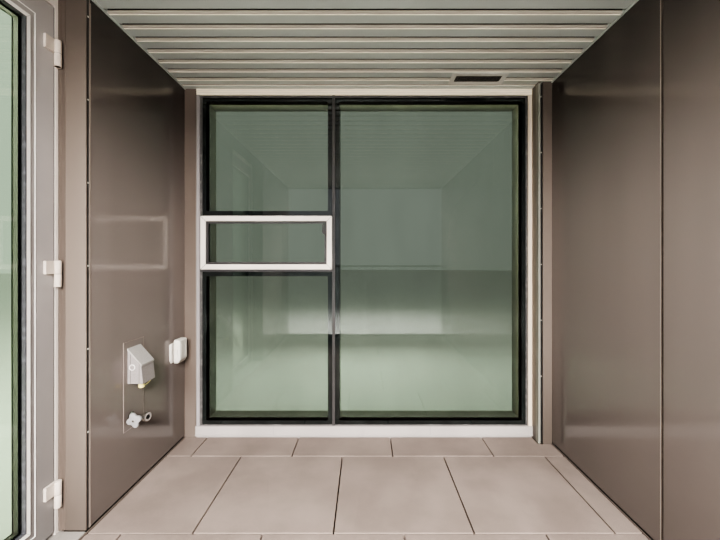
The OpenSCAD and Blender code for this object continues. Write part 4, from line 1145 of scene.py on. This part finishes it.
def tap_wheel():
    """The grey lobed wheel with its hub and screw."""
    s = Piece("tap_wheel", "white_plastic", "wheel_grey", bevel=2.6, smooth=True)
    z = TAP_AT[2]
    lobes = 4
    outline = []
    for angle in round_angles(72):
        lobe = 0.5 + 0.5 * math.cos(math.radians(lobes * (angle - WHEEL_TURN)))
        outline.append(on_arc((WHEEL_X, z), (WHEEL_R + WHEEL_LOBE * lobe ** 0.75) * MM, angle))
    s.prism(outline, along_y, *off(WHEEL_Y, -1, 12))
    s.turn((WHEEL_X, WHEEL_Y - 0.5 * MM, z), (0, -1, 0), [(0, 13), (3, 12), (4.5, 9)], 28)
    s = Piece("tap_wheel_screw", "tap", "silver")
    s.screw((WHEEL_X, WHEEL_Y - 5 * MM, z), (0, -1, 0), 5)


def tap_fittings():
    """The hexagon nuts, the thread on the outlet cup, its dark mouth and the flange's screws."""
    s = Piece("tap_nuts_and_thread", "tap", bevel=0.3)
    x, y, z = TAP_AT
    s.turn((x + 6 * MM, y, z), (1, 0, 0), [(0, 17), (10, 17), (11.5, 15.5)], 6)
    s.turn((WHEEL_X, y - 11 * MM, z), (0, -1, 0), [(0, 15), (11, 15), (12.5, 13.5)], 6)
    out = Vector((math.cos(CUP_TURN), math.sin(CUP_TURN), 0))
    cup = Vector((x + CUP_AT, y, z))
    for at in (4.0, 7.6, 11.2, 14.8):
        s.hoop(cup + out * at * MM, out, [(0, 22.2), (0.9, 23.2), (1.8, 22.2), (0.9, 21.6)], 40)
    for side in (-16, 16):
        s.screw((x + 6 * MM, y + side * MM, z - side * MM), (1, 0, 0), 3.4)
    s = Piece("tap_mouth", "tap", "rubber")
    s.turn(cup + out * 12.2 * MM, out, [(0, 11.8), (0.6, 11.8), (0.9, 9), (0.3, 7)], 32)


def socket_details():
    """The seam and ridges of the socket's cover, its latch and a lug on the back box."""
    wall, face = SOCKET_X
    z = middle(SOCKET_Z)
    cover = ((SOCKET_Y[1] - 98 * MM, SOCKET_Y[1]), off(z, -75, 75))
    s = Piece("socket_seam", "white_plastic", "trim")
    s.band(inset(cover, -0.2), 12.2, 1.8, off(wall, 20.4, 21.2))
    s = Piece("socket_ridges", "white_plastic", bevel=0.9)
    for at in (14.5, 26):
        s.band(inset(cover, -0.9), 12.9, 2.6, off(wall, at, at + 3.4))
    s.band((moved(cover[0], 22, -22), off(z, -38, 54)), 9, 4, off(face, -1, 1.2))
    s.box(off(wall, 18, 36), off(cover[0][0], -4, 1), off(z, -16, 16))
    s.box(off(wall, 2, 12), off(SOCKET_Y[0], 6, 24), off(z, -64, -55))


# Studio

def finish_pieces():
    for made in Piece.made:
        made.finish()


def studio_floor():
    bm = bmesh.new()
    bmesh.ops.create_circle(bm, cap_ends=True, segments=96, radius=60.0)
    f = Finish()
    f.base(f.noise(0.6, 2.0), 0.3, 0.7, (0.70, 0.69, 0.67), (0.73, 0.72, 0.70))
    floor = mesh_object("studio_floor", bm, f.done(0.9))
    floor.location.z = -1 * MM


def studio_light():
    """Soft light from the sky, the open front, the room behind and the left."""
    world = bpy.data.worlds.new("studio")
    world.use_nodes = True
    background = world.node_tree.nodes["Background"]
    background.inputs["Color"].default_value = (0.93, 0.95, 0.97, 1)
    background.inputs["Strength"].default_value = 0.6
    bpy.context.scene.world = world
    area_light("sky_soft", (0.2, -4.2, 4.0), (0, 0.7, 0.4), 3.0, 1500, (1.0, 0.985, 0.96))
    area_light("low_soft", (0.0, -3.4, 0.9), (0, 1.5, 2.1), 1.6, 115, (1.0, 0.97, 0.93))
    area_light("room_soft", (0.0, 4.6, 2.4), (0, 1.7, 1.6), 1.8, 190, (0.86, 1.0, 0.90))
    area_light("rear_soft", (0.0, 7.0, 4.5), (-0.6, 5.0, 0.0), 4.0, 150, (1.0, 0.99, 0.97))
    area_light("side_soft", (-6.5, -2.0, 5.0), (0, 0, 1.2), 4.0, 260, (1.0, 0.99, 0.98))
    settings = bpy.context.scene.view_settings
    settings.view_transform = "AgX"
    settings.look = "AgX - High Contrast"
    settings.exposure = 0.6


def area_light(name, where, towards, size, power, colour):
    light = bpy.data.lights.new(name, "AREA")
    light.shape = "SQUARE"
    light.size = size
    light.energy = power
    light.color = colour
    obj = placed(name, light)
    obj.location = where
    obj.rotation_euler = (Vector(towards) - Vector(where)).to_track_quat("-Z", "Y").to_euler()
    obj.visible_camera = False
    obj.visible_glossy = False
    obj.visible_transmission = False


def camera():
    """The photograph's view: level, on the bay's middle, 2.4 m from the window."""
    picture_width = 720
    back, up = 2.402, 1.187
    data = bpy.data.cameras.new("photo_camera")
    data.sensor_width = 36
    data.lens = 17.75
    data.shift_x = -5 / picture_width
    data.shift_y = -8.5 / picture_width
    obj = placed("photo_camera", data)
    obj.location = (0, WIN_Y - back, FLOOR_Z + up)
    obj.rotation_euler = (math.radians(90), 0, 0)
    bpy.context.scene.camera = obj


for make in (
        dress_nodes, round_edges, window_gaskets, pane_margins, sash_details, frame_details, soffit_angle,
        right_reveal, joint_clips, panel_edges, soffit_lips, pilaster_folds, soffit_vent, door_gaskets,
        door_lines, door_seals, lock_plates, handle_details, hinge_details, guard_details, roof_details,
        outer_clips, access_plate_edge, gas_box_sides, gas_box_hood, gas_box_lock, gas_outlet_cap,
        tap_wheel, tap_fittings, socket_details, finish_pieces, studio_floor, studio_light, camera):
    make()

bpy.context.view_layer.update()
